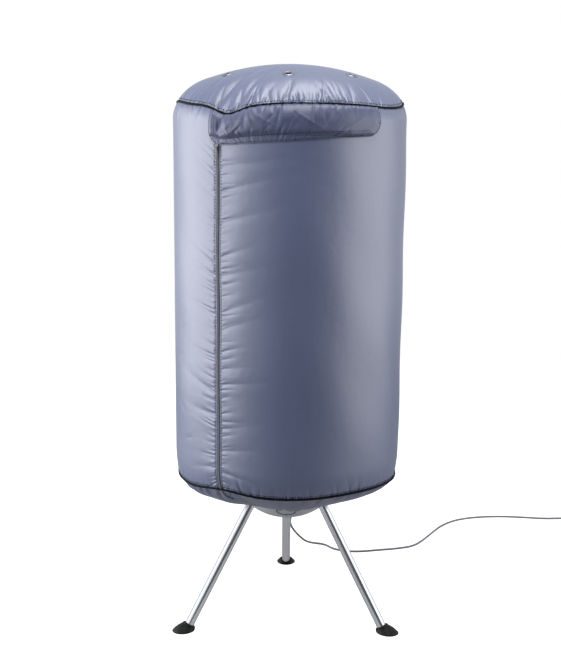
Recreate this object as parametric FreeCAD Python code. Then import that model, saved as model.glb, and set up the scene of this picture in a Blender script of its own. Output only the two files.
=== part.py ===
"""Portable heated clothes-drying pod: a fabric drum on a tripod with a fan heater in its base.

Millimetres and degrees. +Z is up, the origin is on the drum's axis at floor level, and the front
is -Y. An azimuth is measured from the front, positive towards +X.
"""
import FreeCAD, Part
import math
import os

V = FreeCAD.Vector
UP = V(0, 0, 1)
ORIGIN = V(0, 0, 0)

# Clearances
sew_gap = 0.1          # between fabric pieces that are sewn or clipped together
rest_gap = 0.3         # between pieces that lie on each other but can part
fit_gap = 0.1          # radial, between a tube and the socket it plugs into
press_gap = 0.02       # radial, pin or shaft pressed into its hub
run_gap = 0.06         # radial, between a shaft and the hole it turns in

# Fabric drum
drum_radius = 300.0
fabric = 1.5
top_seam_inset = 13.0  # from the drum's radius in to the seam
top_seam_z = 1371.0
top_turn = 40.0        # height over which the wall turns in to the top seam
bottom_seam_inset = 9.0
bottom_seam_z = 413.0
bottom_turn = 60.0
crown_z = 1475.0
crown_radius = 600.0   # radius of the flat middle of the crown
crown_reach = 215.0    # where the crown's middle meets its shoulder
base_bulge = 16.0      # how far the base panel bellies out from a straight cone
piping_radius = 3.0
hem_radius = 3.0
hem_z = 332.0

# Vent eyelets in the crown
eyelet_count = 7
eyelet_circle = 196.0
eyelet_first = -1.5    # azimuth of the front one
eyelet_bore = 8.0
eyelet_neck = 1.4
eyelet_flange = 7.5
eyelet_rise = 2.4
eyelet_tail = 0.8

# Patch sewn over the zip's top end
patch_left = -40.0
patch_right = 45.5
patch_bottom_z = 1283.0
patch_corner = 36.0
patch_thickness = 2.0

# Zip
zip_azimuth = -34.6
zip_opening = 9.0      # between the two fabric edges
tape_width = 14.0
tape_thickness = 1.0
chain_width = 2.9
chain_gap = 0.2
chain_rise = 1.0       # above the fabric
slider_width = 8.6
slider_height = 14.0
slider_thickness = 3.0
slider_drop = 7.0      # from the patch's lower edge to the slider's top
slider_tail = 6.4      # width at the lower end
slider_ear = 0.9
slider_eye = 0.8       # radius of the pull's pivot bar
pull_width = 4.6
pull_length = 26.0
pull_thickness = 1.4
pull_eye_wall = 0.8
pull_hole = 1.3

# Heater base: a bowl that is part of a sphere, closed by a flat deck
bowl_radius = 161.0
bowl_centre_z = 430.0
bowl_wall = 3.0
deck_thickness = 5.0
deck_rounding = 3.0
deck_spokes = 6
deck_spoke_width = 7.0
deck_screw_count = 6
deck_screw_inset = 12.5
post_radius = 5.5
screw_radius = 2.0
screw_length = 16.0
screw_head_radius = 3.8
screw_head = 2.4

# Air path, from the inlet up to the outlet
inlet_radius = 46.0
inlet_flange = 5.0
grille_bar = 2.6
grille_pitch = 7.0
grille_spokes = 6
outlet_grille_height = 2.5
outlet_overlap = 9.0
duct_bore = 60.0
duct_wall = 4.0
duct_seat = 10.5       # height of the bowl's seat under the duct
bracket_thickness = 3.0
bracket_rim = 4.0
bracket_arm = 7.0
bracket_plate = 20.0
motor_radius = 17.0
motor_height = 34.0
motor_nose_radius = 6.0
motor_nose = 3.0
shaft_radius = 2.0
shaft_depth = 18.0     # length of shaft inside the motor
hub_lift = 3.0         # from the motor's nose to the fan hub
fan_hub_radius = 16.0
fan_hub_height = 18.0
fan_tip_gap = 2.0
fan_blades = 7
fan_blade_thickness = 1.8
fan_blade_chord = 26.0
fan_blade_pitch = 38.0
heater_lift = 8.0      # from the fan hub to the ledge that carries the heater
ledge_height = 4.0
ledge_depth = 2.5
heater_ring = 7.0
heater_height = 18.0
heater_headroom = 13.0 # from the heater up to the deck
heater_strip = 6.0
heater_strip_height = 2.0
heater_strip_offset = 18.0
heater_bar_width = 20.0
heater_bar_pitch = 24.0
heater_bars = 4
fin_pitch = 6.0
fin_gap = 3.0
fin_core = 6.0
cutout_radius = 9.0
cutout_height = 9.0
cutout_plate = 1.0
cutout_azimuth = -90.0
cutout_inset = 58.0    # from the rim
terminal_length = 42.0
terminal_width = 18.0
terminal_height = 16.0
terminal_azimuth = 148.0
terminal_inset = 53.0

# Timer behind its dial on the front of the bowl
dial_polar = 47.4      # from straight down, seen from the bowl's centre
dial_radius = 25.5
dial_gap = 1.5
dial_thickness = 6.0
dial_dot_radius = 1.7
dial_dot_depth = 1.0
dial_dot_inset = 4.5
dial_finger_radius = 7.0
dial_finger_depth = 3.0
dial_finger_inset = 13.0
spindle_radius = 3.0
spindle_depth = 8.0    # length of spindle inside the timer
timer_standoff = 8.0   # from the dial's back to the timer's plate
timer_side = 42.0
timer_depth = 26.0
timer_plate = 2.0
timer_ear = 13.0
timer_post = 4.0

# Tripod
leg_azimuths = {"left": -60.0, "right": 60.0, "rear": 180.0}
leg_radius = 12.5
leg_wall = 1.5
leg_polar = 44.3       # where a leg enters the bowl, from straight down
leg_spread = 303.0     # where a leg's axis meets the floor
socket_depth = 45.0
socket_wall = 4.0
foot_sole = 3.0
foot_plug = 27.0
foot_lip = 5.0
foot_lip_wall = 5.5
foot_shoulder = 4.0    # rounding of the lip's outer edge
foot_flare = 18.0      # how far the skirt widens
foot_skirt = 42.0      # length of the skirt along the leg
foot_bulge = 3.5

# Pole and hanging arms
pole_radius = 11.0
pole_wall = 1.2
pole_socket_height = 58.0
pole_socket_wall = 8.0
coupler_length = 70.0
coupler_wall = 3.0
arm_z = 1345.0
arm_count = 6
arm_thickness = 12.0
arm_root = 9.0         # half height at the pivot
arm_tip = 6.0          # half height at the free end
arm_pivot = 36.0       # from the axis
arm_end_gap = 28.0     # from the free end to the fabric
arm_side_gap = 0.4
arm_bumps = 4
arm_bump_start = 92.0
arm_bump_pitch = 46.0
arm_bump = 4.0
pin_radius = 2.0
pin_grip = 5.0
hub_wall = 11.0        # outside the pivots
hub_plate = 5.0
hub_skirt = 26.0
hub_skirt_wall = 8.0
hub_roof = 9.0
cap_radius = 30.0
cap_height = 12.0

# Mains lead
cord_radius = 3.25
gland_azimuth = 167.5
gland_polar = 47.1
gland_bore = 6.0
gland_flange_radius = 7.5
gland_flange = 3.0
gland_nut = 7.0
gland_boot = 28.0
gland_boot_radius = 5.8
gland_boot_tip = 4.2
plug_length = 50.0
plug_width = 48.0
plug_neck_width = 26.0
plug_height = 19.0
plug_rounding = 3.0
plug_boot = 22.0
plug_boot_radius = 5.5
plug_boot_tip = 4.2
pin_earth = (4.0, 8.0, 22.7)
pin_line = (6.3, 4.0, 17.7)
pin_spacing = 22.2
pin_pitch = 22.2
plug_face_inset = 13.0

# Values that follow
top_seam_radius = drum_radius - top_seam_inset
bottom_seam_radius = drum_radius - bottom_seam_inset
bowl_centre = V(0, 0, bowl_centre_z)
bowl_inside = bowl_radius - bowl_wall
duct_floor_z = bowl_centre_z - math.sqrt(bowl_inside ** 2 - (duct_bore + duct_wall) ** 2) + duct_seat
bracket_top = duct_floor_z + bracket_thickness
nose_z = bracket_top + motor_height + motor_nose
fan_z = nose_z + hub_lift
fan_radius = duct_bore - fan_tip_gap
ledge_z = fan_z + fan_hub_height + heater_lift
heater_z = ledge_z + ledge_height
rim_z = heater_z + heater_height + heater_headroom
rim_drop = bowl_centre_z - rim_z
rim_radius = math.sqrt(bowl_radius ** 2 - rim_drop ** 2)
deck_top = rim_z + deck_thickness
pole_bottom = deck_top
pole_top = arm_z + arm_root + rest_gap + hub_plate - hub_roof
pole_joint_z = (pole_bottom + pole_top) / 2
arm_reach = drum_radius - fabric - arm_end_gap
hem_centre = bowl_radius + rest_gap + hem_radius
hem_circle = math.sqrt(hem_centre ** 2 - (bowl_centre_z - hem_z) ** 2)
chain_outer = drum_radius + chain_rise
slider_top = patch_bottom_z - slider_drop


def polar(azimuth, radius, z):
    angle = math.radians(azimuth)
    return V(radius * math.sin(angle), -radius * math.cos(angle), z)


def bowl_normal(azimuth, polar_angle):
    """Unit vector out of the bowl's centre, polar_angle away from straight down."""
    tilt = math.radians(polar_angle)
    return polar(azimuth, math.sin(tilt), -math.cos(tilt))


leg_floor = V(leg_spread, 0, 0)
leg_entry = bowl_centre + bowl_normal(90, leg_polar) * bowl_radius
leg_reach = leg_entry.distanceToPoint(leg_floor)
leg_direction = (leg_entry - leg_floor) * (1 / leg_reach)
leg_start = (foot_sole - leg_radius * leg_direction.x) / leg_direction.z
leg_end = leg_reach + socket_depth
dial_axis = bowl_normal(0, dial_polar)
gland_axis = bowl_normal(gland_azimuth, gland_polar)
cord_exit = bowl_centre + gland_axis * (bowl_radius + sew_gap + gland_flange + gland_boot)

# Route of the lead: out of the bowl behind the rear leg, down to the floor, then loosely to the right
cord_route = [
    cord_exit,
    V(35, 159, 278),
    V(29, 194, 236),
    V(17, 229, 190),
    V(10, 265, 148),
    V(17, 303, 113),
    V(34, 345, 76),
    V(56, 398, 35),
    V(79, 444, 8),
    V(123, 447, cord_radius),
    V(147, 408, cord_radius),
    V(188, 388, cord_radius),
    V(234, 387, cord_radius),
    V(290, 401, cord_radius),
    V(357, 416, cord_radius),
    V(408, 438, cord_radius),
    V(444, 488, cord_radius),
    V(482, 555, cord_radius),
    V(522, 622, cord_radius),
    V(578, 676, cord_radius),
    V(650, 704, cord_radius),
    V(728, 714, cord_radius),
    V(806, 709, cord_radius),
    V(880, 697, cord_radius),
    V(941, 690, plug_height / 2 - 1.5),
    V(990, 690, plug_height / 2),
]


def turned(shape, azimuth):
    """Turn a shape that was made along +X to an azimuth."""
    shape = shape.copy()
    shape.rotate(ORIGIN, UP, azimuth - 90)
    return shape


def aimed(shape, point, direction):
    """Place a shape that was made about +Z at a point, with +Z along a direction."""
    shape = shape.copy()
    shape.Placement = FreeCAD.Placement(point, FreeCAD.Rotation(UP, direction)).multiply(shape.Placement)
    return shape


def line(start, end):
    return Part.LineSegment(start, end).toShape()


def arc(centre, radius, start, end):
    """Arc in the XZ plane from one angle to another, measured from +X towards +Z."""
    points = []
    for angle in (start, (start + end) / 2, end):
        turn = math.radians(angle)
        points.append(V(centre[0] + radius * math.cos(turn), 0, centre[1] + radius * math.sin(turn)))
    return Part.Arc(*points).toShape()


def outline_face(edges):
    return Part.Face(Part.Wire(Part.__sortEdges__(edges)))


def polygon_face(points):
    return Part.Face(Part.makePolygon([V(*p) for p in points] + [V(*points[0])]))


def lathe(points):
    """Solid of revolution about Z from an outline of (radius, height) points."""
    return polygon_face([(r, 0, z) for r, z in points]).revolve(ORIGIN, UP, 360)


def tube(outer, inner, bottom, top):
    body = Part.makeCylinder(outer, top - bottom, V(0, 0, bottom))
    return body.cut(Part.makeCylinder(inner, top - bottom, V(0, 0, bottom)))


def angle_of(centre, point):
    return math.degrees(math.atan2(point[1] - centre[1], point[0] - centre[0]))


def wall_profile(trim):
    """Drum wall from the bottom seam up to the top seam, as (centre, radius, start, end) arcs."""
    inset_low = drum_radius - bottom_seam_radius
    radius_low = (inset_low ** 2 + bottom_turn ** 2) / (2 * inset_low)
    inset_high = drum_radius - top_seam_radius
    radius_high = (inset_high ** 2 + top_turn ** 2) / (2 * inset_high)
    low = (drum_radius - radius_low, bottom_seam_z + bottom_turn)
    high = (drum_radius - radius_high, top_seam_z - top_turn)
    start = -math.degrees(math.asin(bottom_turn / radius_low) - trim / radius_low)
    end = math.degrees(math.asin(top_turn / radius_high) - trim / radius_high)
    return [(low, radius_low, start, 0.0), (high, radius_high, 0.0, end)]


def crown_profile(trim):
    """Crown from the top seam up to its middle."""
    centre = (0.0, crown_z - crown_radius)
    slope = math.asin(crown_reach / crown_radius)
    normal = (math.sin(slope), math.cos(slope))
    joint = (crown_reach, centre[1] + crown_radius * normal[1])
    chord = (top_seam_radius - joint[0], top_seam_z - joint[1])
    depth = -(chord[0] * normal[0] + chord[1] * normal[1])
    radius = (chord[0] ** 2 + chord[1] ** 2) / (2 * depth)
    shoulder = (joint[0] - radius * normal[0], joint[1] - radius * normal[1])
    start = angle_of(shoulder, (top_seam_radius, top_seam_z)) + math.degrees(trim / radius)
    bend = 90 - math.degrees(slope)
    return [(shoulder, radius, start, bend), (centre, crown_radius, bend, 90.0)]


def base_profile(trim_seam, trim_hem):
    """Base panel from the bottom seam down to the hem on the bowl."""
    seam = (bottom_seam_radius, bottom_seam_z)
    hem = (hem_circle, hem_z)
    chord = (hem[0] - seam[0], hem[1] - seam[1])
    length = math.hypot(*chord)
    radius = (length ** 2 / 4 + base_bulge ** 2) / (2 * base_bulge)
    inward = (chord[1] / length, -chord[0] / length)
    reach = radius - base_bulge
    centre = ((seam[0] + hem[0]) / 2 + inward[0] * reach, (seam[1] + hem[1]) / 2 + inward[1] * reach)
    start = angle_of(centre, seam) - math.degrees(trim_seam / radius)
    end = angle_of(centre, hem) + math.degrees(trim_hem / radius)
    return [(centre, radius, start, end)]


def band(profile, inner, outer):
    """Face between two offsets of a profile, outwards positive."""
    sides = []
    for offset in (inner, outer):
        edges = []
        for centre, radius, start, end in profile:
            piece = arc(centre, radius + offset, start, end)
            if edges and edges[-1].Vertexes[-1].Point.distanceToPoint(piece.Vertexes[0].Point) > 1e-6:
                edges.append(line(edges[-1].Vertexes[-1].Point, piece.Vertexes[0].Point))
            edges.append(piece)
        sides.append(edges)
    starts = [side[0].Vertexes[0].Point for side in sides]
    ends = [side[-1].Vertexes[-1].Point for side in sides]
    return outline_face(sides[0] + sides[1] + [line(*starts), line(*ends)])


def spun(face, start=-180.0, sweep=360.0):
    return turned(face.revolve(ORIGIN, UP, sweep), start)


def arc_degrees(length, radius):
    return math.degrees(length / radius)


def cover_crown():
    shell = spun(band(crown_profile(piping_radius + sew_gap), -fabric, 0))
    for point, normal in eyelet_places():
        radius = eyelet_bore + eyelet_neck + sew_gap
        depth = 6 * fabric
        shell = shell.cut(Part.makeCylinder(radius, 2 * depth, point - normal * depth, normal))
    return shell


def eyelet_places():
    slope = math.asin(eyelet_circle / crown_radius)
    height = crown_z - crown_radius + crown_radius * math.cos(slope)
    places = []
    for index in range(eyelet_count):
        azimuth = eyelet_first + index * 360.0 / eyelet_count
        normal = polar(azimuth, math.sin(slope), math.cos(slope))
        places.append((polar(azimuth, eyelet_circle, height), normal))
    return places


def eyelets():
    """Pressed metal rings: a rolled flange on the fabric and a neck through it."""
    middle = eyelet_bore + eyelet_flange / 2
    flange = [
        line(V(eyelet_bore, 0, sew_gap), V(eyelet_bore + eyelet_flange, 0, sew_gap)),
        Part.Arc(
            V(eyelet_bore + eyelet_flange, 0, sew_gap),
            V(middle, 0, eyelet_rise),
            V(eyelet_bore, 0, sew_gap),
        ).toShape(),
    ]
    ring = outline_face(flange).revolve(ORIGIN, UP, 360)
    ring = ring.fuse(tube(eyelet_bore + eyelet_neck, eyelet_bore, -fabric - eyelet_tail, eyelet_rise / 2))
    ring = ring.removeSplitter()
    return Part.Compound([aimed(ring, point, normal) for point, normal in eyelet_places()])


def wall_panel(start, sweep):
    """One half of the wall, between the zip and the seam at the back."""
    edge = arc_degrees(zip_opening / 2, drum_radius)
    seam = arc_degrees(sew_gap / 2, drum_radius)
    face = band(wall_profile(piping_radius + sew_gap), -fabric, 0)
    lead = edge if sweep > 0 else seam
    return spun(face, start + lead, abs(sweep) - edge - seam)


def cover_front_panel():
    return wall_panel(zip_azimuth, 180.0)


def cover_back_panel():
    return wall_panel(zip_azimuth + 180.0, -180.0)


def cover_base():
    face = band(base_profile(piping_radius + sew_gap, hem_radius + sew_gap), -fabric, 0)
    return spun(face)


def ring(circle, z, radius):
    return Part.makeTorus(circle, radius, V(0, 0, z))


def zip_strip(inner, outer, start, width):
    """Strip along the zip, from start to start + width beside its middle line."""
    face = band(wall_profile(piping_radius + sew_gap), inner, outer)
    return spun(face, zip_azimuth + arc_degrees(start, drum_radius), arc_degrees(width, drum_radius))


def zip_tapes():
    inner = -fabric - sew_gap - tape_thickness
    outer = -fabric - sew_gap
    first = chain_gap / 2
    return Part.Compound([
        zip_strip(inner, outer, first, tape_width),
        zip_strip(inner, outer, -first - tape_width, tape_width),
    ])


def zip_chain():
    first = chain_gap / 2
    return Part.Compound([
        zip_strip(-fabric, chain_rise, first, chain_width),
        zip_strip(-fabric, chain_rise, -first - chain_width, chain_width),
    ])


def front_patch():
    """Patch with two rounded lower corners, bent round the wall up to the top seam."""
    lift = chain_rise + sew_gap
    shell = spun(band(wall_profile(2 * piping_radius), lift, lift + patch_thickness), -80.0, 160.0)
    left = drum_radius * math.sin(math.radians(patch_left))
    right = drum_radius * math.sin(math.radians(patch_right))
    low = patch_bottom_z
    high = crown_z
    corner_left = (left + patch_corner, low + patch_corner)
    corner_right = (right - patch_corner, low + patch_corner)
    edges = [
        line(V(left, 0, high), V(left, 0, corner_left[1])),
        arc(corner_left, patch_corner, 180.0, 270.0),
        line(V(corner_left[0], 0, low), V(corner_right[0], 0, low)),
        arc(corner_right, patch_corner, 270.0, 360.0),
        line(V(right, 0, corner_right[1]), V(right, 0, high)),
        line(V(right, 0, high), V(left, 0, high)),
    ]
    return shell.common(outline_face(edges).extrude(V(0, -2 * drum_radius, 0)))


def slider_frame(shape):
    """Stand a shape made at the zip's front, with +X outwards, on the zip's middle line."""
    return turned(shape, zip_azimuth)


pull_pivot = V(
    chain_outer + 2 * rest_gap + slider_thickness + slider_eye + run_gap + pull_eye_wall,
    0,
    slider_top - slider_height / 2,
)


def zip_slider():
    """Tapered slider plate with two ears that hold the bar of the pull."""
    inner = chain_outer + rest_gap
    half = slider_width / 2
    tail = slider_tail / 2
    outline = [
        (inner, -tail, slider_top - slider_height),
        (inner, tail, slider_top - slider_height),
        (inner, half, slider_top),
        (inner, -half, slider_top),
    ]
    body = polygon_face(outline).extrude(V(slider_thickness, 0, 0))
    ear_start = pull_width / 2 + rest_gap
    for side in (ear_start, -ear_start - slider_ear):
        ear = Part.makeBox(slider_thickness / 2 + 3 * slider_eye, slider_ear, 4 * slider_eye)
        ear.translate(V(inner + slider_thickness / 2, side, pull_pivot.z - 2 * slider_eye))
        body = body.fuse(ear)
    reach = ear_start + slider_ear / 2
    bar = Part.makeCylinder(slider_eye, 2 * reach, pull_pivot - V(0, reach, 0), V(0, 1, 0))
    return slider_frame(body.fuse(bar))


def zip_pull():
    """Flat tab that hangs from the slider's bar by an eye."""
    eye_bore = slider_eye + run_gap
    eye_outer = eye_bore + pull_eye_wall
    start = V(0, -pull_width / 2, 0)
    body = Part.makeCylinder(eye_outer, pull_width, pull_pivot + start, V(0, 1, 0))
    tab = Part.makeBox(pull_thickness, pull_width, pull_length)
    tab.translate(pull_pivot + start + V(-pull_thickness / 2, 0, -pull_length))
    body = body.fuse(tab)
    hole = pull_pivot + V(-pull_thickness, 0, -pull_length + pull_hole + pull_thickness)
    body = body.cut(Part.makeCylinder(pull_hole, 2 * pull_thickness, hole, V(1, 0, 0)))
    body = body.cut(Part.makeCylinder(eye_bore, pull_width, pull_pivot + start, V(0, 1, 0)))
    return slider_frame(body)


def leg_cylinder(radius, start, end):
    return Part.makeCylinder(radius, end - start, leg_floor + leg_direction * start, leg_direction)


def leg_socket():
    """Closed tube inside the bowl that takes one leg."""
    radius = leg_radius + fit_gap + socket_wall
    body = leg_cylinder(radius, leg_reach - socket_depth, leg_end + socket_wall)
    return body.common(Part.makeSphere(bowl_radius - bowl_wall / 2, bowl_centre))


def deck_screw_places(z):
    circle = rim_radius - deck_screw_inset
    step = 360.0 / deck_screw_count
    return [polar((i + 0.5) * step, circle, z) for i in range(deck_screw_count)]


def timer_post_places():
    side = timer_side / 2 + timer_ear / 2
    return [V(-side, 0, 0), V(side, 0, 0)]


timer_top = bowl_radius - dial_thickness - timer_standoff


def bowl():
    """Moulded bowl with leg sockets, a duct seat, screw posts and posts for the timer."""
    below_rim = Part.makeCylinder(2 * bowl_radius, 2 * bowl_radius, V(0, 0, rim_z - 2 * bowl_radius))
    inside = Part.makeSphere(bowl_radius - bowl_wall / 2, bowl_centre)
    body = Part.makeSphere(bowl_radius, bowl_centre).cut(Part.makeSphere(bowl_inside, bowl_centre))
    body = body.common(below_rim)
    for azimuth in leg_azimuths.values():
        body = body.fuse(turned(leg_socket(), azimuth))
    depth = bowl_centre_z - bowl_radius
    seat = tube(duct_bore + duct_wall, duct_bore - bracket_rim, depth, duct_floor_z)
    body = body.fuse(seat.common(inside))
    for place in deck_screw_places(depth):
        post = Part.makeCylinder(post_radius, rim_z - depth, place)
        body = body.fuse(post.common(inside))
    for place in timer_post_places():
        post = Part.makeCylinder(timer_post, bowl_radius - timer_top, place + V(0, 0, timer_top))
        body = body.fuse(aimed(post, bowl_centre, dial_axis).common(inside))
    for azimuth in leg_azimuths.values():
        bore = leg_cylinder(leg_radius + fit_gap, leg_reach - socket_depth, leg_end)
        body = body.cut(turned(bore, azimuth))
    body = body.cut(Part.makeCylinder(inlet_radius, duct_floor_z - depth, V(0, 0, depth)))
    for radius, axis in ((dial_radius + dial_gap, dial_axis), (gland_bore, gland_axis)):
        body = body.cut(Part.makeCylinder(radius, bowl_radius, bowl_centre + axis * timer_top, axis))
    for place in deck_screw_places(rim_z - screw_length):
        body = body.cut(Part.makeCylinder(screw_radius + press_gap, screw_length, place))
    return body.removeSplitter()


def grille_mask(inner, outer, bottom, height):
    """Concentric bars and spokes between two radii, with a solid rim and a solid middle ring."""
    mask = tube(outer, outer - grille_bar, bottom, bottom + height)
    radius = inner + grille_bar
    while radius < outer - grille_bar:
        mask = mask.fuse(tube(radius, radius - grille_bar, bottom, bottom + height))
        radius += grille_pitch
    for index in range(grille_spokes):
        spoke = Part.makeBox(outer - inner - grille_bar, grille_bar, height)
        spoke.translate(V(inner + grille_bar / 2, -grille_bar / 2, bottom))
        mask = mask.fuse(turned(spoke, index * 360.0 / grille_spokes))
    return mask


def inlet_grille():
    """Slotted cap that closes the bowl's inlet from inside, flush with the bowl."""
    depth = bowl_centre_z - bowl_radius
    height = duct_floor_z - depth
    outer = inlet_radius - rest_gap
    cap = Part.makeSphere(bowl_radius, bowl_centre).cut(Part.makeSphere(bowl_inside, bowl_centre))
    middle = Part.makeCylinder(2 * grille_bar, height, V(0, 0, depth))
    mask = grille_mask(0, outer, depth, height).fuse(middle)
    cap = cap.common(mask)
    flange = Part.makeSphere(bowl_inside - sew_gap, bowl_centre)
    flange = flange.cut(Part.makeSphere(bowl_inside - bowl_wall, bowl_centre))
    flange = flange.common(tube(inlet_radius + inlet_flange, outer - grille_bar, depth, duct_floor_z))
    neck = Part.makeSphere(bowl_inside + sew_gap, bowl_centre)
    neck = neck.cut(Part.makeSphere(bowl_inside - bowl_wall, bowl_centre))
    neck = neck.common(tube(outer, outer - grille_bar, depth, duct_floor_z))
    return cap.fuse([flange, neck]).removeSplitter()


def deck():
    """Flat lid of the bowl: an outlet crossed by spokes, and the pole's socket in its middle."""
    body = Part.makeCylinder(rim_radius, deck_thickness, V(0, 0, rim_z))
    rim = [e for e in body.Edges if abs(e.CenterOfMass.z - deck_top) < 1e-6 and e.Length > rim_radius]
    body = body.makeFillet(min(deck_rounding, deck_thickness / 2), rim)
    body = body.cut(Part.makeCylinder(duct_bore, deck_thickness, V(0, 0, rim_z)))
    for index in range(deck_spokes):
        spoke = Part.makeBox(duct_bore, deck_spoke_width, deck_thickness)
        spoke.translate(V(0, -deck_spoke_width / 2, rim_z))
        body = body.fuse(turned(spoke, (index + 0.5) * 360.0 / deck_spokes))
    socket = pole_radius + fit_gap + pole_socket_wall
    body = body.fuse(Part.makeCylinder(socket, deck_thickness + pole_socket_height, V(0, 0, rim_z)))
    body = body.cut(Part.makeCylinder(pole_radius + fit_gap, pole_socket_height, V(0, 0, deck_top)))
    for place in deck_screw_places(rim_z):
        body = body.cut(Part.makeCylinder(screw_radius + fit_gap, deck_thickness, place))
    return body.removeSplitter()


def deck_screws():
    """Pan-head screws that hold the deck on the bowl's posts."""
    screws = []
    for place in deck_screw_places(deck_top):
        shank = Part.makeCylinder(screw_radius, screw_length, place - V(0, 0, screw_length))
        head = Part.makeCylinder(screw_head_radius, screw_head, place)
        drive = Part.makeBox(screw_head_radius, screw_head / 4, screw_head / 2)
        drive.translate(place + V(-screw_head_radius / 2, -screw_head / 8, screw_head / 2))
        screws.append(head.fuse(shank).cut(drive).removeSplitter())
    return Part.Compound(screws)


def outlet_grille():
    """Finger guard that lies on the deck round the pole's socket."""
    inner = pole_radius + fit_gap + pole_socket_wall + rest_gap
    return grille_mask(inner, duct_bore + outlet_overlap, deck_top, outlet_grille_height).removeSplitter()


def motor_bracket():
    """Spider clamped between the bowl's seat and the duct, with the motor's plate in its middle."""
    outer = duct_bore + duct_wall
    inner = duct_bore - bracket_rim
    body = tube(outer, inner, duct_floor_z, bracket_top)
    body = body.fuse(Part.makeCylinder(bracket_plate, bracket_thickness, V(0, 0, duct_floor_z)))
    for index in range(3):
        spider = Part.makeBox(inner + bracket_rim / 2, bracket_arm, bracket_thickness)
        spider.translate(V(0, -bracket_arm / 2, duct_floor_z))
        body = body.fuse(turned(spider, index * 120.0))
    return body.removeSplitter()


def fan_motor():
    can = Part.makeCylinder(motor_radius, motor_height, V(0, 0, bracket_top))
    edges = [e for e in can.Edges if e.Length > motor_radius and len(e.Vertexes) == 1]
    can = can.makeFillet(motor_radius / 8, edges)
    nose = Part.makeCylinder(motor_nose_radius, motor_nose, V(0, 0, bracket_top + motor_height))
    depth = shaft_depth + motor_nose
    bore = Part.makeCylinder(shaft_radius + run_gap, depth, V(0, 0, nose_z - depth))
    return can.fuse(nose).cut(bore).removeSplitter()


def fan_shaft():
    bottom = nose_z - shaft_depth
    return Part.makeCylinder(shaft_radius, fan_z + fan_hub_height - bottom, V(0, 0, bottom))


def fan_impeller():
    """Axial fan: a hub and flat pitched blades cut to the duct's bore."""
    body = Part.makeCylinder(fan_hub_radius, fan_hub_height, V(0, 0, fan_z))
    limit = Part.makeCylinder(fan_radius, fan_hub_height, V(0, 0, fan_z))
    for index in range(fan_blades):
        blade = Part.makeBox(fan_radius, fan_blade_chord, fan_blade_thickness)
        blade.translate(V(fan_hub_radius / 2, -fan_blade_chord / 2, -fan_blade_thickness / 2))
        blade.rotate(ORIGIN, V(1, 0, 0), fan_blade_pitch)
        blade.translate(V(0, 0, fan_z + fan_hub_height / 2))
        body = body.fuse(turned(blade, index * 360.0 / fan_blades).common(limit))
    body = body.cut(Part.makeCylinder(shaft_radius + press_gap, fan_hub_height, V(0, 0, fan_z)))
    return body.removeSplitter()


def fan_duct():
    """Tube from the bowl's seat up to the deck, with a ledge that carries the heater."""
    body = tube(duct_bore + duct_wall, duct_bore, bracket_top, rim_z)
    ledge = tube(duct_bore + duct_wall / 2, duct_bore - ledge_depth, ledge_z, ledge_z + ledge_height)
    return body.fuse(ledge).removeSplitter()


def heater_frame():
    """Heat-proof ring on the duct's ledge, with two strips that the bars lie on."""
    outer = duct_bore - fit_gap
    inner = outer - heater_ring
    body = tube(outer, inner, heater_z, heater_z + heater_height)
    for side in (-1, 1):
        strip = Part.makeBox(heater_strip, 2 * outer, heater_strip_height)
        strip.translate(V(side * heater_strip_offset - heater_strip / 2, -outer, heater_z))
        inside = Part.makeCylinder(inner + heater_ring / 2, heater_height, V(0, 0, heater_z))
        body = body.fuse(strip.common(inside))
    return body.removeSplitter()


def heater_elements():
    """Finned ceramic heater bars side by side across the ring."""
    inner = duct_bore - fit_gap - heater_ring - rest_gap
    bottom = heater_z + heater_strip_height
    height = heater_height - heater_strip_height
    bars = []
    for index in range(heater_bars):
        offset = (index - (heater_bars - 1) / 2) * heater_bar_pitch
        reach = math.sqrt(inner ** 2 - (abs(offset) + heater_bar_width / 2) ** 2)
        bar = Part.makeBox(2 * reach, heater_bar_width, height)
        bar.translate(V(-reach, offset - heater_bar_width / 2, bottom))
        fins = int(2 * reach / fin_pitch)
        for number in range(fins):
            start = (number - (fins - 1) / 2) * fin_pitch - fin_gap / 2
            for side in (-1, 1):
                edge = offset + side * fin_core / 2
                low = min(edge, offset + side * heater_bar_width / 2)
                gap = Part.makeBox(fin_gap, (heater_bar_width - fin_core) / 2, height)
                gap.translate(V(start, low, bottom + heater_strip_height))
                bar = bar.cut(gap)
        bars.append(bar)
    return Part.Compound(bars)


def thermal_cutout():
    """Button thermostat fixed under the deck."""
    body = Part.makeCylinder(cutout_radius, cutout_height, V(0, 0, rim_z - cutout_height))
    plate = Part.makeBox(3 * cutout_radius, cutout_radius, cutout_plate)
    plate.translate(V(-1.5 * cutout_radius, -cutout_radius / 2, rim_z - cutout_plate))
    body = body.fuse(plate)
    body.translate(polar(cutout_azimuth, rim_radius - cutout_inset, 0))
    return body.removeSplitter()


def terminal_block():
    """Three-way terminal strip screwed under the deck, where the lead is joined."""
    body = Part.makeBox(terminal_length, terminal_width, terminal_height)
    body.translate(V(-terminal_length / 2, -terminal_width / 2, rim_z - terminal_height))
    for way in (-1, 0, 1):
        place = V(way * terminal_length / 3.4, 0, rim_z - terminal_height)
        body = body.cut(Part.makeCylinder(terminal_width / 6, terminal_height / 2, place))
    body.rotate(ORIGIN, UP, terminal_azimuth - 180)
    body.translate(polar(terminal_azimuth, rim_radius - terminal_inset, 0))
    return body


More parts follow.
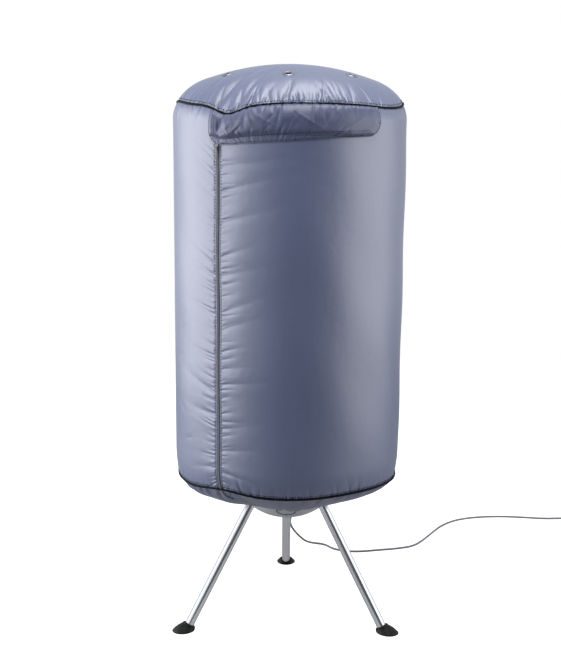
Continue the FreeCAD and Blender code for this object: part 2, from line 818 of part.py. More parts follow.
def timer_dial():
    """Flush dial: a piece of the bowl's own sphere with a pointer dot and a finger dimple."""
    shell = Part.makeSphere(bowl_radius, bowl_centre)
    shell = shell.cut(Part.makeSphere(bowl_radius - dial_thickness, bowl_centre))
    disc = Part.makeCylinder(dial_radius, bowl_radius, bowl_centre + dial_axis * bowl_radius / 2, dial_axis)
    body = shell.common(disc)
    down = V(0, math.cos(math.radians(dial_polar)), -math.sin(math.radians(dial_polar)))
    dot = bowl_centre + dial_axis * (bowl_radius - 2 * dial_dot_depth)
    dot = dot + down * (dial_radius - dial_dot_inset)
    body = body.cut(Part.makeCylinder(dial_dot_radius, 3 * dial_dot_depth, dot, dial_axis))
    rise = dial_finger_radius ** 2 / (2 * dial_finger_depth) - dial_finger_depth / 2
    finger = bowl_centre + dial_axis * (bowl_radius + rise) - down * (dial_radius - dial_finger_inset)
    return body.cut(Part.makeSphere(rise + dial_finger_depth, finger))


def timer_spindle():
    length = timer_standoff + timer_plate + spindle_depth
    start = bowl_radius - dial_thickness - length
    body = Part.makeCylinder(spindle_radius, length - rest_gap, V(0, 0, start))
    return aimed(body, bowl_centre, dial_axis)


def timer_body():
    """Clockwork timer on a plate with two ears, standing on posts behind the dial."""
    half = timer_side / 2
    plate = Part.makeBox(timer_side + 2 * timer_ear, timer_ear, timer_plate)
    plate.translate(V(-half - timer_ear, -timer_ear / 2, timer_top - timer_plate))
    box = Part.makeBox(timer_side, timer_side, timer_depth)
    box.translate(V(-half, -half, timer_top - timer_plate - timer_depth))
    upright = [e for e in box.Edges if abs(e.tangentAt(e.FirstParameter).z) > 0.99]
    box = box.makeFillet(timer_side / 10, upright)
    body = plate.fuse(box)
    bore = timer_plate + spindle_depth + timer_plate
    body = body.cut(Part.makeCylinder(spindle_radius + run_gap, bore, V(0, 0, timer_top - bore)))
    return aimed(body.removeSplitter(), bowl_centre, dial_axis)


def leg():
    body = leg_cylinder(leg_radius, leg_start, leg_end)
    return body.cut(leg_cylinder(leg_radius - leg_wall, leg_start, leg_end))


def foot():
    """Rubber foot: a flared skirt about the leg's axis, cut flat by the floor, with a plug in the tube."""
    lip_radius = leg_radius + fit_gap + foot_lip_wall
    lip_top = leg_start + foot_lip
    skirt_top = (lip_radius, leg_start)
    skirt_low = (lip_radius + foot_flare, leg_start - foot_skirt)
    chord = math.hypot(foot_flare, foot_skirt)
    middle = (
        (skirt_top[0] + skirt_low[0]) / 2 + foot_bulge * foot_skirt / chord,
        (skirt_top[1] + skirt_low[1]) / 2 + foot_bulge * foot_flare / chord,
    )
    points = [V(r, 0, z) for r, z in (skirt_top, middle, skirt_low)]
    turn = foot_shoulder * (1 - math.sqrt(0.5))
    shoulder = [
        V(lip_radius - foot_shoulder, 0, lip_top),
        V(lip_radius - turn, 0, lip_top - turn),
        V(lip_radius, 0, lip_top - foot_shoulder),
    ]
    edges = [
        line(V(0, 0, lip_top), shoulder[0]),
        Part.Arc(*shoulder).toShape(),
        line(shoulder[2], points[0]),
        Part.Arc(*points).toShape(),
        line(points[2], V(0, 0, skirt_low[1])),
        line(V(0, 0, skirt_low[1]), V(0, 0, lip_top)),
    ]
    body = outline_face(edges).revolve(ORIGIN, UP, 360)
    body = body.cut(Part.makeCylinder(leg_radius + fit_gap, foot_lip, V(0, 0, leg_start)))
    plug_radius = leg_radius - leg_wall - fit_gap
    body = body.fuse(Part.makeCylinder(plug_radius, foot_plug + foot_lip, V(0, 0, leg_start - foot_lip)))
    body = aimed(body, leg_floor, leg_direction)
    size = 4 * (foot_skirt + foot_flare)
    floor = Part.makeBox(size, size, size, V(leg_spread - size / 2, -size / 2, -size))
    return body.cut(floor).removeSplitter()


def pole_piece(bottom, top):
    return tube(pole_radius, pole_radius - pole_wall, bottom, top)


def pole_coupler():
    half = coupler_length / 2
    bore = pole_radius + fit_gap
    body = tube(bore + coupler_wall, bore, pole_joint_z - half, pole_joint_z + half)
    ends = [e for e in body.Edges if len(e.Vertexes) == 1 and e.Curve.Radius > pole_radius + 2 * fit_gap]
    return body.makeFillet(coupler_wall / 2, ends)


def arm_hub():
    """Moulded head on the pole with one slot for each arm, open below so that the arms can drop."""
    outer = arm_pivot + hub_wall
    plate_bottom = arm_z + arm_root + rest_gap
    top = plate_bottom + hub_plate
    body = Part.makeCylinder(outer, top - arm_z + arm_root, V(0, 0, arm_z - arm_root))
    edges = [e for e in body.Edges if len(e.Vertexes) == 1 and abs(e.CenterOfMass.z - top) < 1e-6]
    body = body.makeFillet(hub_plate / 2, edges)
    skirt = pole_radius + fit_gap + hub_skirt_wall
    body = body.fuse(Part.makeCylinder(skirt, hub_skirt + arm_root, V(0, 0, arm_z - arm_root - hub_skirt)))
    width = arm_thickness + 2 * arm_side_gap
    inner = arm_pivot - arm_root - 3 * rest_gap
    low = arm_z - arm_root - hub_skirt
    for azimuth in arm_azimuths:
        slot = Part.makeBox(outer, width, plate_bottom - low, V(inner, -width / 2, low))
        body = body.cut(turned(slot, azimuth))
        body = body.cut(turned(arm_pin(press_gap), azimuth))
    body = body.cut(Part.makeCylinder(pole_radius + fit_gap, pole_top - low, V(0, 0, low)))
    return body.removeSplitter()


arm_azimuths = [(i + 0.5) * 360.0 / arm_count for i in range(arm_count)]


def arm_pin(gap=0.0):
    length = arm_thickness + 2 * arm_side_gap + 2 * pin_grip
    return Part.makeCylinder(pin_radius + gap, length, V(arm_pivot, -length / 2, arm_z), V(0, 1, 0))


def arm_pins():
    return Part.Compound([turned(arm_pin(), azimuth) for azimuth in arm_azimuths])


def arm():
    """Tapered hanging arm with bumps that keep the hangers apart."""
    tip = arm_reach - arm_tip
    edges = [
        arc((arm_pivot, arm_z), arm_root, 90.0, 270.0),
        line(V(arm_pivot, 0, arm_z - arm_root), V(tip, 0, arm_z - arm_tip)),
        arc((tip, arm_z), arm_tip, -90.0, 90.0),
        line(V(tip, 0, arm_z + arm_tip), V(arm_pivot, 0, arm_z + arm_root)),
    ]
    body = outline_face(edges).extrude(V(0, arm_thickness, 0))
    for number in range(arm_bumps):
        place = arm_bump_start + number * arm_bump_pitch
        share = (place - arm_pivot) / (tip - arm_pivot)
        height = arm_root + (arm_tip - arm_root) * share
        bump = Part.makeCylinder(arm_bump, arm_thickness, V(place, 0, arm_z + height), V(0, 1, 0))
        body = body.fuse(bump)
    pivot = V(arm_pivot, 0, arm_z)
    body = body.cut(Part.makeCylinder(pin_radius + run_gap, arm_thickness, pivot, V(0, 1, 0)))
    body.translate(V(0, -arm_thickness / 2, 0))
    return body.removeSplitter()


def hub_cap():
    """Domed button on top of the hub, under the crown."""
    bottom = arm_z + arm_root + rest_gap + hub_plate
    sphere_radius = (cap_radius ** 2 + cap_height ** 2) / (2 * cap_height)
    ball = Part.makeSphere(sphere_radius, V(0, 0, bottom + cap_height - sphere_radius))
    return ball.common(Part.makeCylinder(cap_radius, cap_height, V(0, 0, bottom)))


def cord_gland():
    """Flexible strain relief clipped through the bowl's wall."""
    inside = bowl_inside - gland_flange_radius ** 2 / bowl_inside - sew_gap
    outside = bowl_radius + sew_gap
    neck = gland_bore - fit_gap
    boot = outside + gland_flange
    points = [
        (0, inside - gland_nut),
        (gland_flange_radius - 1.0, inside - gland_nut),
        (gland_flange_radius, inside),
        (neck, inside),
        (neck, outside),
        (gland_flange_radius, outside),
        (gland_flange_radius, boot),
        (gland_boot_radius, boot),
        (gland_boot_tip, boot + gland_boot),
        (0, boot + gland_boot),
    ]
    return aimed(lathe(points), bowl_centre, gland_axis)


def corner_arcs(route):
    """Straight runs joined by the largest tangent arcs that each pair of runs allows."""
    edges = []
    radii = []
    length = 0.0
    last = route[0]
    for before, point, after in zip(route, route[1:], route[2:]):
        back = (before - point)
        ahead = (after - point)
        reach = 0.45 * min(back.Length, ahead.Length)
        back.normalize()
        ahead.normalize()
        turn = math.pi - back.getAngle(ahead)
        radius = reach / math.tan(turn / 2)
        radii.append(radius)
        start = point + back * reach
        end = point + ahead * reach
        bisector = back + ahead
        bisector.normalize()
        middle = point + bisector * (radius / math.cos(turn / 2) - radius)
        edges.append(line(last, start))
        edges.append(Part.Arc(start, middle, end).toShape())
        length += last.distanceToPoint(start) + radius * turn
        last = end
    edges.append(line(last, route[-1]))
    length += last.distanceToPoint(route[-1])
    return edges, radii, length


def power_cord():
    edges, radii, length = corner_arcs(cord_route)
    direction = cord_route[1] - cord_route[0]
    section = Part.Wire(Part.Circle(cord_route[0], direction, cord_radius).toShape())
    body = Part.Wire(edges).makePipeShell([section], True, False)
    expected = math.pi * cord_radius ** 2 * length
    print("cord: length %.0f mm, radii %.0f to %.0f mm" % (length, min(radii), max(radii)))
    print("cord: bend radii", [round(r) for r in radii])
    print("cord: volume %.0f, section times length %.0f" % (body.Volume, expected))
    return body


plug_start = cord_route[-1]
plug_front = plug_start.x + plug_boot


def plug_body():
    """Three-pin plug lying on its back, with the lead leaving its edge through a tapered boot."""
    half = plug_width / 2
    neck = plug_neck_width / 2
    front = plug_front
    outline = [
        (front, -neck, 0),
        (front + plug_length * 0.4, -half, 0),
        (front + plug_length, -half * 0.8, 0),
        (front + plug_length, half * 0.8, 0),
        (front + plug_length * 0.4, half, 0),
        (front, neck, 0),
    ]
    body = polygon_face(outline).extrude(V(0, 0, plug_height))
    body = body.makeFillet(plug_rounding, body.Edges)
    boot_start = V(plug_start.x, 0, plug_start.z)
    boot_length = plug_boot + plug_rounding
    body = body.fuse(Part.makeCone(plug_boot_tip, plug_boot_radius, boot_length, boot_start, V(1, 0, 0)))
    body.translate(V(0, plug_start.y, 0))
    for pin in plug_pin_boxes():
        body = body.cut(pin)
    return body.removeSplitter()


def plug_pin_boxes():
    """Earth pin nearest the lead's far side, then the two line pins."""
    earth = plug_front + plug_length - plug_face_inset + 2.0
    line_x = earth - pin_pitch
    sink = plug_height / 3
    half = pin_spacing / 2
    places = [(earth, 0.0, pin_earth), (line_x, half, pin_line), (line_x, -half, pin_line)]
    pins = []
    for x, y, (wide, deep, tall) in places:
        pin = Part.makeBox(wide, deep, tall + sink)
        pin.translate(V(x - wide / 2, plug_start.y + y - deep / 2, plug_height - sink))
        pins.append(pin)
    return pins


def plug_pins():
    return Part.Compound(plug_pin_boxes())


def build():
    """Every node of the object by name."""
    nodes = {
        "bowl": bowl(),
        "inlet_grille": inlet_grille(),
        "motor_bracket": motor_bracket(),
        "fan_motor": fan_motor(),
        "fan_shaft": fan_shaft(),
        "fan_impeller": fan_impeller(),
        "fan_duct": fan_duct(),
        "heater_frame": heater_frame(),
        "heater_elements": heater_elements(),
        "thermal_cutout": thermal_cutout(),
        "terminal_block": terminal_block(),
        "timer_body": timer_body(),
        "timer_spindle": timer_spindle(),
        "timer_dial": timer_dial(),
        "deck": deck(),
        "deck_screws": deck_screws(),
        "outlet_grille": outlet_grille(),
        "pole_lower": pole_piece(pole_bottom, pole_joint_z),
        "pole_coupler": pole_coupler(),
        "pole_upper": pole_piece(pole_joint_z, pole_top),
        "arm_hub": arm_hub(),
        "arm_pins": arm_pins(),
        "hub_cap": hub_cap(),
        "cover_crown": cover_crown(),
        "cover_front_panel": cover_front_panel(),
        "cover_back_panel": cover_back_panel(),
        "cover_base": cover_base(),
        "top_piping": ring(top_seam_radius, top_seam_z, piping_radius),
        "bottom_piping": ring(bottom_seam_radius, bottom_seam_z, piping_radius),
        "hem_elastic": ring(hem_circle, hem_z, hem_radius),
        "eyelets": eyelets(),
        "front_patch": front_patch(),
        "zip_tapes": zip_tapes(),
        "zip_chain": zip_chain(),
        "zip_slider": zip_slider(),
        "zip_pull": zip_pull(),
        "cord_gland": cord_gland(),
        "power_cord": power_cord(),
        "plug_body": plug_body(),
        "plug_pins": plug_pins(),
    }
    for name, azimuth in leg_azimuths.items():
        nodes["leg_" + name] = turned(leg(), azimuth)
        nodes["foot_" + name] = turned(foot(), azimuth)
    for number, azimuth in enumerate(arm_azimuths, 1):
        nodes["arm_%d" % number] = turned(arm(), azimuth)
    return nodes


os.makedirs("parts", exist_ok=True)
for node, shape in build().items():
    if not shape.isValid():
        print("not valid:", node)
    shape.exportStep("parts/%s.step" % node)
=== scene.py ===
import math
import bmesh
import bpy
import numpy as np
from mathutils import Euler, Matrix, Vector


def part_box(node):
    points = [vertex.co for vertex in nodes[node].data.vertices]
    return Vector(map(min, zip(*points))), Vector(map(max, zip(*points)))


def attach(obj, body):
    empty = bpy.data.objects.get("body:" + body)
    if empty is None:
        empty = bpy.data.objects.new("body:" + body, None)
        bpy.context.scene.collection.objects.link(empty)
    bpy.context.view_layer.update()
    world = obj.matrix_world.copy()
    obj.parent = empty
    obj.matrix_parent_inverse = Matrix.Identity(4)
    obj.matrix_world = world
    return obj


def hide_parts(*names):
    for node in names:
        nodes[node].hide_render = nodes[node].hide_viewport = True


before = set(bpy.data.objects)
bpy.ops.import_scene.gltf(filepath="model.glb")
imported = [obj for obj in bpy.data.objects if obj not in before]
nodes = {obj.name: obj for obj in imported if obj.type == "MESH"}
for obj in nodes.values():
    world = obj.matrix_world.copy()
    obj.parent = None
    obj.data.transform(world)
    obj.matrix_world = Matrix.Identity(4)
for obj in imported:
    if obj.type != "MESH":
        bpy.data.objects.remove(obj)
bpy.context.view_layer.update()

# Studio. A camera a little above the drum's top, looking down at it. Softboxes at both sides, overhead
# and over the camera leave the drum's front in half shade, and dark flags behind the camera and on the
# floor keep it from glaring. Floor and background are white to the camera, and the floor has a shadow.
camera_pitch = 0.1809
camera_yaw = 0.0072
camera_roll = 0.0079
sky_fill = 0.09
floor_glow = 0.87
floor_albedo = 0.9
floor_bounce = 0.22
floor_in_gloss = 0.18
sky_in_gloss = 0.8

scene = bpy.context.scene
scene.view_settings.view_transform = "Standard"
camera = bpy.data.objects.new("camera", bpy.data.cameras.new("camera"))
scene.collection.objects.link(camera)
scene.camera = camera
camera.data.lens = 59.53
camera.location = (0.0, -2.821, 1.3137)
aim = Euler((math.pi / 2 - camera_pitch, 0.0, camera_yaw)).to_matrix()
camera.rotation_euler = (aim @ Matrix.Rotation(camera_roll, 3, "Z")).to_euler()


def set_inputs(node, values):
    """Set a node's inputs by their names."""
    for name, value in values.items():
        node.inputs[name].default_value = value


def combined(tree, operation, first, second):
    """Math node on two values, each a socket or a number."""
    node = tree.nodes.new("ShaderNodeMath")
    node.operation = operation
    for socket, value in zip(node.inputs, (first, second)):
        if isinstance(value, float):
            socket.default_value = value
        else:
            tree.links.new(value, socket)
    return node.outputs[0]


def spread(tree, value, low, high, start=0.0, end=1.0):
    """A value between start and end, drawn out to run from low to high."""
    ramp = tree.nodes.new("ShaderNodeMapRange")
    set_inputs(ramp, {"From Min": start, "From Max": end, "To Min": low, "To Max": high})
    tree.links.new(value, ramp.inputs["Value"])
    return ramp.outputs["Result"]


def shows_background(tree, in_gloss):
    """1 on rays from the camera, and a share of that on rays off gloss or through glass."""
    path = tree.nodes.new("ShaderNodeLightPath")
    total = path.outputs["Is Camera Ray"]
    for kind in ("Is Glossy Ray", "Is Transmission Ray"):
        total = combined(tree, "MAXIMUM", total, combined(tree, "MULTIPLY", path.outputs[kind], in_gloss))
    return total


scene.world = bpy.data.worlds.new("studio")
scene.world.use_nodes = True
sky = scene.world.node_tree
level = spread(sky, shows_background(sky, sky_in_gloss), sky_fill, 1.0)
sky.nodes["Background"].inputs["Color"].default_value = (1, 1, 1, 1)
sky.links.new(level, sky.nodes["Background"].inputs["Strength"])


def new_piece(name, bm, material):
    """Turn a finished bmesh into a smooth object at the origin."""
    mesh = bpy.data.meshes.new(name)
    bm.to_mesh(mesh)
    bm.free()
    mesh.shade_smooth()
    mesh.materials.append(material)
    piece = bpy.data.objects.new(name, mesh)
    scene.collection.objects.link(piece)
    return piece


def new_finish(name, roughness=0.5, metallic=0.0):
    """New material, its node tree and its shader."""
    material = bpy.data.materials.new(name)
    material.use_nodes = True
    shader = material.node_tree.nodes["Principled BSDF"]
    set_inputs(shader, {"Roughness": roughness, "Metallic": metallic})
    return material, material.node_tree, shader


floor_mesh = bmesh.new()
bmesh.ops.create_grid(floor_mesh, x_segments=1, y_segments=1, size=3.3)
floor_paint, tree, _ = new_finish("white_floor")
matt = tree.nodes.new("ShaderNodeBsdfDiffuse")
glow = tree.nodes.new("ShaderNodeEmission")
floor_share = shows_background(tree, floor_in_gloss)
tree.links.new(spread(tree, floor_share, floor_bounce, floor_albedo), matt.inputs["Color"])
tree.links.new(combined(tree, "MULTIPLY", floor_share, floor_glow), glow.inputs["Strength"])
both = tree.nodes.new("ShaderNodeAddShader")
tree.links.new(matt.outputs[0], both.inputs[0])
tree.links.new(glow.outputs[0], both.inputs[1])
tree.links.new(both.outputs[0], tree.nodes["Material Output"].inputs["Surface"])
floor = new_piece("floor", floor_mesh, floor_paint)

flag_behind_camera = (0.75, -3.6, 1.5)
flag_on_floor = (0.75, -2.1, 0.01)
flag_half_width = 1.9
flag_half_height = 1.6
flag_half_depth = 1.5
upright = Matrix.Rotation(math.pi / 2, 4, "X")
standing = Matrix.Diagonal((flag_half_width, 1, flag_half_height, 1)) @ upright
lying = Matrix.Diagonal((flag_half_width, flag_half_depth, 1, 1))
flag_mesh = bmesh.new()
for place, shape in ((flag_behind_camera, standing), (flag_on_floor, lying)):
    where = Matrix.Translation(place) @ shape
    bmesh.ops.create_grid(flag_mesh, x_segments=1, y_segments=1, size=1.0, matrix=where)
flag_cloth, _, shader = new_finish("black_flag")
shader.inputs["Base Color"].default_value = (0.16, 0.16, 0.16, 1)
flag = new_piece("dark_flag", flag_mesh, flag_cloth)
flag.visible_camera = False
flag.visible_shadow = False


def softbox(name, place, target, width, height, watts):
    """Area lamp that faces its target and stays out of the picture."""
    lamp = bpy.data.lights.new(name, "AREA")
    lamp.shape = "RECTANGLE"
    lamp.size = width
    lamp.size_y = height
    lamp.energy = watts
    holder = bpy.data.objects.new(name, lamp)
    holder.location = place
    holder.rotation_euler = (Vector(target) - Vector(place)).to_track_quat("-Z", "Y").to_euler()
    holder.visible_camera = False
    scene.collection.objects.link(holder)
    return holder


side_lamps = [
    softbox("left_softbox", (-2.1, -0.2, 1.14), (0, -0.05, 1.0), width=3.2, height=2.2, watts=66),
    softbox("right_softbox", (2.15, -0.38, 1.06), (0, 0, 0.95), width=2.4, height=1.9, watts=26),
]
softbox("top_softbox", (0.25, -0.35, 3.1), (0, 0, 1.3), width=1.8, height=1.3, watts=27)
softbox("front_softbox", (0.15, -1.75, 3.1), (0, 0, 1.3), width=1.4, height=0.9, watts=22)

card_y = -1.3
card_z = 1.2
card_half_height = 0.9
card_half_depth = 1.6


def white_card(name, x):
    """Card beyond a side softbox, which gives the legs a white side."""
    bm = bmesh.new()
    facing = Matrix.Translation((x, card_y, card_z)) @ Matrix.Rotation(math.pi / 2, 4, "Y")
    facing = facing @ Matrix.Diagonal((card_half_height, card_half_depth, 1, 1))
    bmesh.ops.create_grid(bm, x_segments=1, y_segments=1, size=1.0, matrix=facing)
    card_white, _, shader = new_finish(name)
    set_inputs(shader, {"Emission Color": (1, 1, 1, 1), "Emission Strength": 0.9})
    card = new_piece(name, bm, card_white)
    card.visible_camera = False
    return card


leg_cards = [white_card("left_card", -2.5), white_card("right_card", 2.5)]

# Mains lead. Round PVC flex, laid loosely on the floor: out of the bowl behind the rear leg, down to the
# floor and away to the right, where its moulded plug lies just outside the picture.
cord_radius = 0.00325
cord_exit = (0.0305, 0.1374, 0.2992)
cord_hanging = [
    cord_exit, (0.035, 0.159, 0.278), (0.029, 0.194, 0.236), (0.017, 0.229, 0.19), (0.01, 0.265, 0.148),
    (0.017, 0.303, 0.113), (0.034, 0.345, 0.076), (0.056, 0.398, 0.035), (0.079, 0.444, 0.008),
]
cord_on_floor = [
    (0.123, 0.447), (0.147, 0.408), (0.188, 0.388), (0.234, 0.387), (0.29, 0.401), (0.357, 0.416),
    (0.408, 0.438), (0.444, 0.488), (0.482, 0.555), (0.522, 0.622), (0.578, 0.676), (0.65, 0.704),
    (0.728, 0.714), (0.806, 0.709), (0.88, 0.697),
]
cord_to_plug = [(0.941, 0.69, 0.008), (0.99, 0.69, 0.0095)]
cord_route = cord_hanging + [(x, y, cord_radius) for x, y in cord_on_floor] + cord_to_plug


def paint(red, green, blue):
    """Screen colour to the shader's linear colour."""
    linear = [((c / 255 + 0.055) / 1.055) ** 2.4 for c in (red, green, blue)]
    return (*linear, 1.0)


def speckle(tree, size, turn=(0, 0, 0), detail=3.0, source="Object"):
    """Noise with spots of that size in metres, along axes that are turned with the piece."""
    place = tree.nodes.new("ShaderNodeTexCoord")
    grid = tree.nodes.new("ShaderNodeMapping")
    grid.vector_type = "TEXTURE"
    set_inputs(grid, {"Rotation": turn, "Scale": size})
    spots = tree.nodes.new("ShaderNodeTexNoise")
    set_inputs(spots, {"Scale": 1.0, "Detail": detail})
    tree.links.new(place.outputs[source], grid.inputs["Vector"])
    tree.links.new(grid.outputs["Vector"], spots.inputs["Vector"])
    return spots.outputs["Fac"]


noise_middle = (0.3, 0.7)


def tint(tree, shader, value, dark, light):
    """Colour that moves between two colours with a grain, so that no surface is one flat colour."""
    mix = tree.nodes.new("ShaderNodeMix")
    mix.data_type = "RGBA"
    set_inputs(mix, {"A": paint(*dark), "B": paint(*light)})
    tree.links.new(spread(tree, value, 0.0, 1.0, *noise_middle), mix.inputs["Factor"])
    tree.links.new(mix.outputs["Result"], shader.inputs["Base Color"])


def relief(tree, shader, value, height):
    """Bump of that height in metres, on top of any bump that is there."""
    bump = tree.nodes.new("ShaderNodeBump")
    bump.inputs["Distance"].default_value = height
    tree.links.new(value, bump.inputs["Height"])
    if shader.inputs["Normal"].links:
        tree.links.new(shader.inputs["Normal"].links[0].from_socket, bump.inputs["Normal"])
    tree.links.new(bump.outputs["Normal"], shader.inputs["Normal"])


def grained(name, dark, light, grain, height, roughness, metallic=0.0):
    """Moulded or cast surface: a fine even grain in metres, and soft mottling eight times as coarse."""
    material, tree, shader = new_finish(name, roughness, metallic)
    tint(tree, shader, speckle(tree, (8 * grain,) * 3), dark, light)
    spots = speckle(tree, (grain,) * 3, detail=2.0)
    relief(tree, shader, spots, height)
    worn = spread(tree, spots, roughness - 0.06, roughness + 0.08, *noise_middle)
    tree.links.new(worn, shader.inputs["Roughness"])
    return material


def dress(material, *names):
    """Give solid pieces a finish."""
    for name in names:
        slots = nodes[name].data.materials
        slots.clear()
        slots.append(material)


lead_curve = bpy.data.curves.new("mains_lead", "CURVE")
lead_curve.dimensions = "3D"
lead_curve.bevel_depth = cord_radius
lead_curve.bevel_resolution = 4
lead_curve.resolution_u = 12
lead_curve.use_fill_caps = True
lead_line = lead_curve.splines.new("NURBS")
lead_line.points.add(len(cord_route) - 1)
for point, place in zip(lead_line.points, cord_route):
    point.co = (*place, 1.0)
lead_line.order_u = 3
lead_line.use_endpoint_u = True
lead = bpy.data.objects.new("mains_lead", lead_curve)
scene.collection.objects.link(lead)
lead_pvc = grained(
    "lead_pvc", (112, 116, 127), (128, 132, 142), grain=0.0012, height=0.00006, roughness=0.42,
)
lead_curve.materials.append(lead_pvc)
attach(lead, "stand")
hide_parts("power_cord")
dress(lead_pvc, "cord_gland", "plug_body")
dress(grained(
    "pin_brass", (196, 160, 88), (214, 182, 112),
    grain=0.0008, height=0.00002, roughness=0.28, metallic=1.0,
), "plug_pins")

# Heater base. A moulded bowl of light grey plastic, spark-eroded to a fine satin, with the timer's dial
# flush in its front, closed by a black deck that also carries the pole.
dress(grained(
    "bowl_plastic", (214, 220, 231), (222, 228, 238), grain=0.0009, height=0.00005, roughness=0.38,
), "bowl", "timer_dial")
dress(grained(
    "deck_plastic", (34, 35, 37), (44, 45, 48), grain=0.001, height=0.00008, roughness=0.48,
), "deck", "inlet_grille", "outlet_grille")

# Painted shade in the dial's gap, and its index dot. A thin black ring fills the gap round the timer's
# dial and paints the shade in that gap; a dot of black enamel fills the small recess at the dial's edge.
bowl_middle = Vector((0, 0, 0.43))
bowl_outside = 0.161
dial_polar = math.radians(47.4)
gap_shade_circle = 0.0262
gap_shade_bar = 0.0013
dot_place = 0.021
dot_radius = 0.0024
dot_flatness = 0.5
dot_sunk = 0.0006
dial_axis = Vector((0, -math.sin(dial_polar), -math.cos(dial_polar)))
dial_low = Vector((0, math.cos(dial_polar), -math.sin(dial_polar)))
dial_frame = Matrix((Vector((1, 0, 0)), dial_low, dial_axis)).transposed().to_4x4()
# One black finish for the ring that paints the shade in the dial's gap and for the printed index dot.
gap_shade_and_dot_black = grained(
    "gap_shade_and_dot_black", (20, 21, 23), (30, 31, 33), grain=0.0008, height=0.00004, roughness=0.5,
)


def on_dial(bm, outward):
    """Stand a mesh on the dial's axis, at a distance from the bowl's middle."""
    where = Matrix.Translation(bowl_middle + dial_axis * outward) @ dial_frame
    bmesh.ops.transform(bm, matrix=where, verts=bm.verts[:])
    bmesh.ops.recalc_face_normals(bm, faces=bm.faces[:])


# Black ring in the dial's gap: painted shade, where the open gap would fall dark.
bm = bmesh.new()
bmesh.ops.create_circle(bm, segments=10, radius=gap_shade_bar, matrix=upright)
bmesh.ops.translate(bm, verts=bm.verts[:], vec=(gap_shade_circle, 0, 0))
bmesh.ops.spin(
    bm, geom=bm.verts[:] + bm.edges[:], axis=(0, 0, 1), cent=(0, 0, 0),
    angle=2 * math.pi, steps=72, use_merge=True,
)
bmesh.ops.remove_doubles(bm, verts=bm.verts[:], dist=1e-6)
on_dial(bm, math.sqrt(bowl_outside ** 2 - gap_shade_circle ** 2))
gap_shade_ring = new_piece("dial_gap_shade", bm, gap_shade_and_dot_black)
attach(gap_shade_ring, "stand")

bm = bmesh.new()
bmesh.ops.create_uvsphere(bm, u_segments=16, v_segments=8, radius=dot_radius)
bmesh.ops.scale(bm, verts=bm.verts[:], vec=(1, 1, dot_flatness))
bmesh.ops.translate(bm, verts=bm.verts[:], vec=(0, dot_place, 0))
on_dial(bm, math.sqrt(bowl_outside ** 2 - dot_place ** 2) - dot_sunk)
dot = new_piece("dial_dot", bm, gap_shade_and_dot_black)
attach(dot, "dial")

# Fan, heater and timer inside the bowl. Black heat-proof mouldings, a steel motor can and shaft, a mica
# frame with finned ceramic bars, and the clockwork timer behind the dial.
dress(grained(
    "inner_plastic", (52, 53, 56), (64, 65, 68), grain=0.0012, height=0.00006, roughness=0.5,
), "fan_impeller", "fan_duct", "timer_body", "timer_spindle", "terminal_block")
bright_steel = grained(
    "bright_steel", (168, 170, 174), (190, 192, 196),
    grain=0.001, height=0.00003, roughness=0.32, metallic=1.0,
)
dress(bright_steel, "motor_bracket", "fan_motor", "fan_shaft", "thermal_cutout", "deck_screws")
dress(grained(
    "mica_board", (168, 150, 118), (192, 176, 146), grain=0.002, height=0.0001, roughness=0.6,
), "heater_frame")
dress(grained(
    "heater_fins", (150, 148, 144), (178, 176, 172),
    grain=0.001, height=0.00004, roughness=0.4, metallic=1.0,
), "heater_elements")

# Tripod. Three drawn aluminium tubes, satin anodised, with the drawing marks along each tube, pushed
# into the bowl's sockets. Each stands in a flared foot of black rubber.
leg_tilt = math.radians(31.2)
leg_azimuths = {"left": -60.0, "right": 60.0, "rear": 180.0}
tube_roughness = (0.1, 0.18)


def drawn_tube(name, turn):
    """Satin aluminium with fine marks along the tube's own axis."""
    material, tree, shader = new_finish(name, roughness=0.14, metallic=1.0)
    marks = speckle(tree, (0.0007, 0.0007, 0.16), turn)
    tint(tree, shader, marks, (224, 228, 236), (236, 239, 245))
    relief(tree, shader, marks, height=0.00002)
    tree.links.new(spread(tree, marks, *tube_roughness, *noise_middle), shader.inputs["Roughness"])
    return material


for side, azimuth in leg_azimuths.items():
    inward = math.radians(azimuth)
    lean = math.sin(leg_tilt)
    axis = Vector((-math.sin(inward) * lean, math.cos(inward) * lean, math.cos(leg_tilt)))
    turn = axis.to_track_quat("Z", "Y").to_euler()
    dress(drawn_tube(f"{side}_leg_aluminium", turn), f"leg_{side}")
# The side softboxes would burn the tubes out, so they skip the legs, and the cards light only the legs.
for group, state, lights in (("legs_lit", "INCLUDE", leg_cards), ("legs_shaded", "EXCLUDE", side_lamps)):
    legs = bpy.data.collections.new(group)
    for side in leg_azimuths:
        legs.objects.link(nodes[f"leg_{side}"])
    for entry in legs.collection_objects:
        entry.light_linking.link_state = state
    for light in lights:
        light.light_linking.receiver_collection = legs
foot_rubber = grained("foot_rubber", (4, 5, 8), (10, 11, 14), grain=0.0011, height=0.00012, roughness=0.46)
foot_rubber.node_tree.nodes["Principled BSDF"].inputs["Specular IOR Level"].default_value = 0.2
dress(foot_rubber, "foot_left", "foot_right", "foot_rear")

# Pole and hanging arms inside the drum. Two aluminium tubes with a plastic coupler, and six grey arms
# that fold down from a hub on steel pins.
dress(drawn_tube("pole_aluminium", (0, 0, 0)), "pole_lower", "pole_upper")
dress(grained(
    "arm_plastic", (196, 199, 204), (210, 212, 216), grain=0.0012, height=0.00005, roughness=0.4,
), "pole_coupler", "arm_hub", "hub_cap", *[f"arm_{n}" for n in range(1, 7)])
dress(bright_steel, "arm_pins")

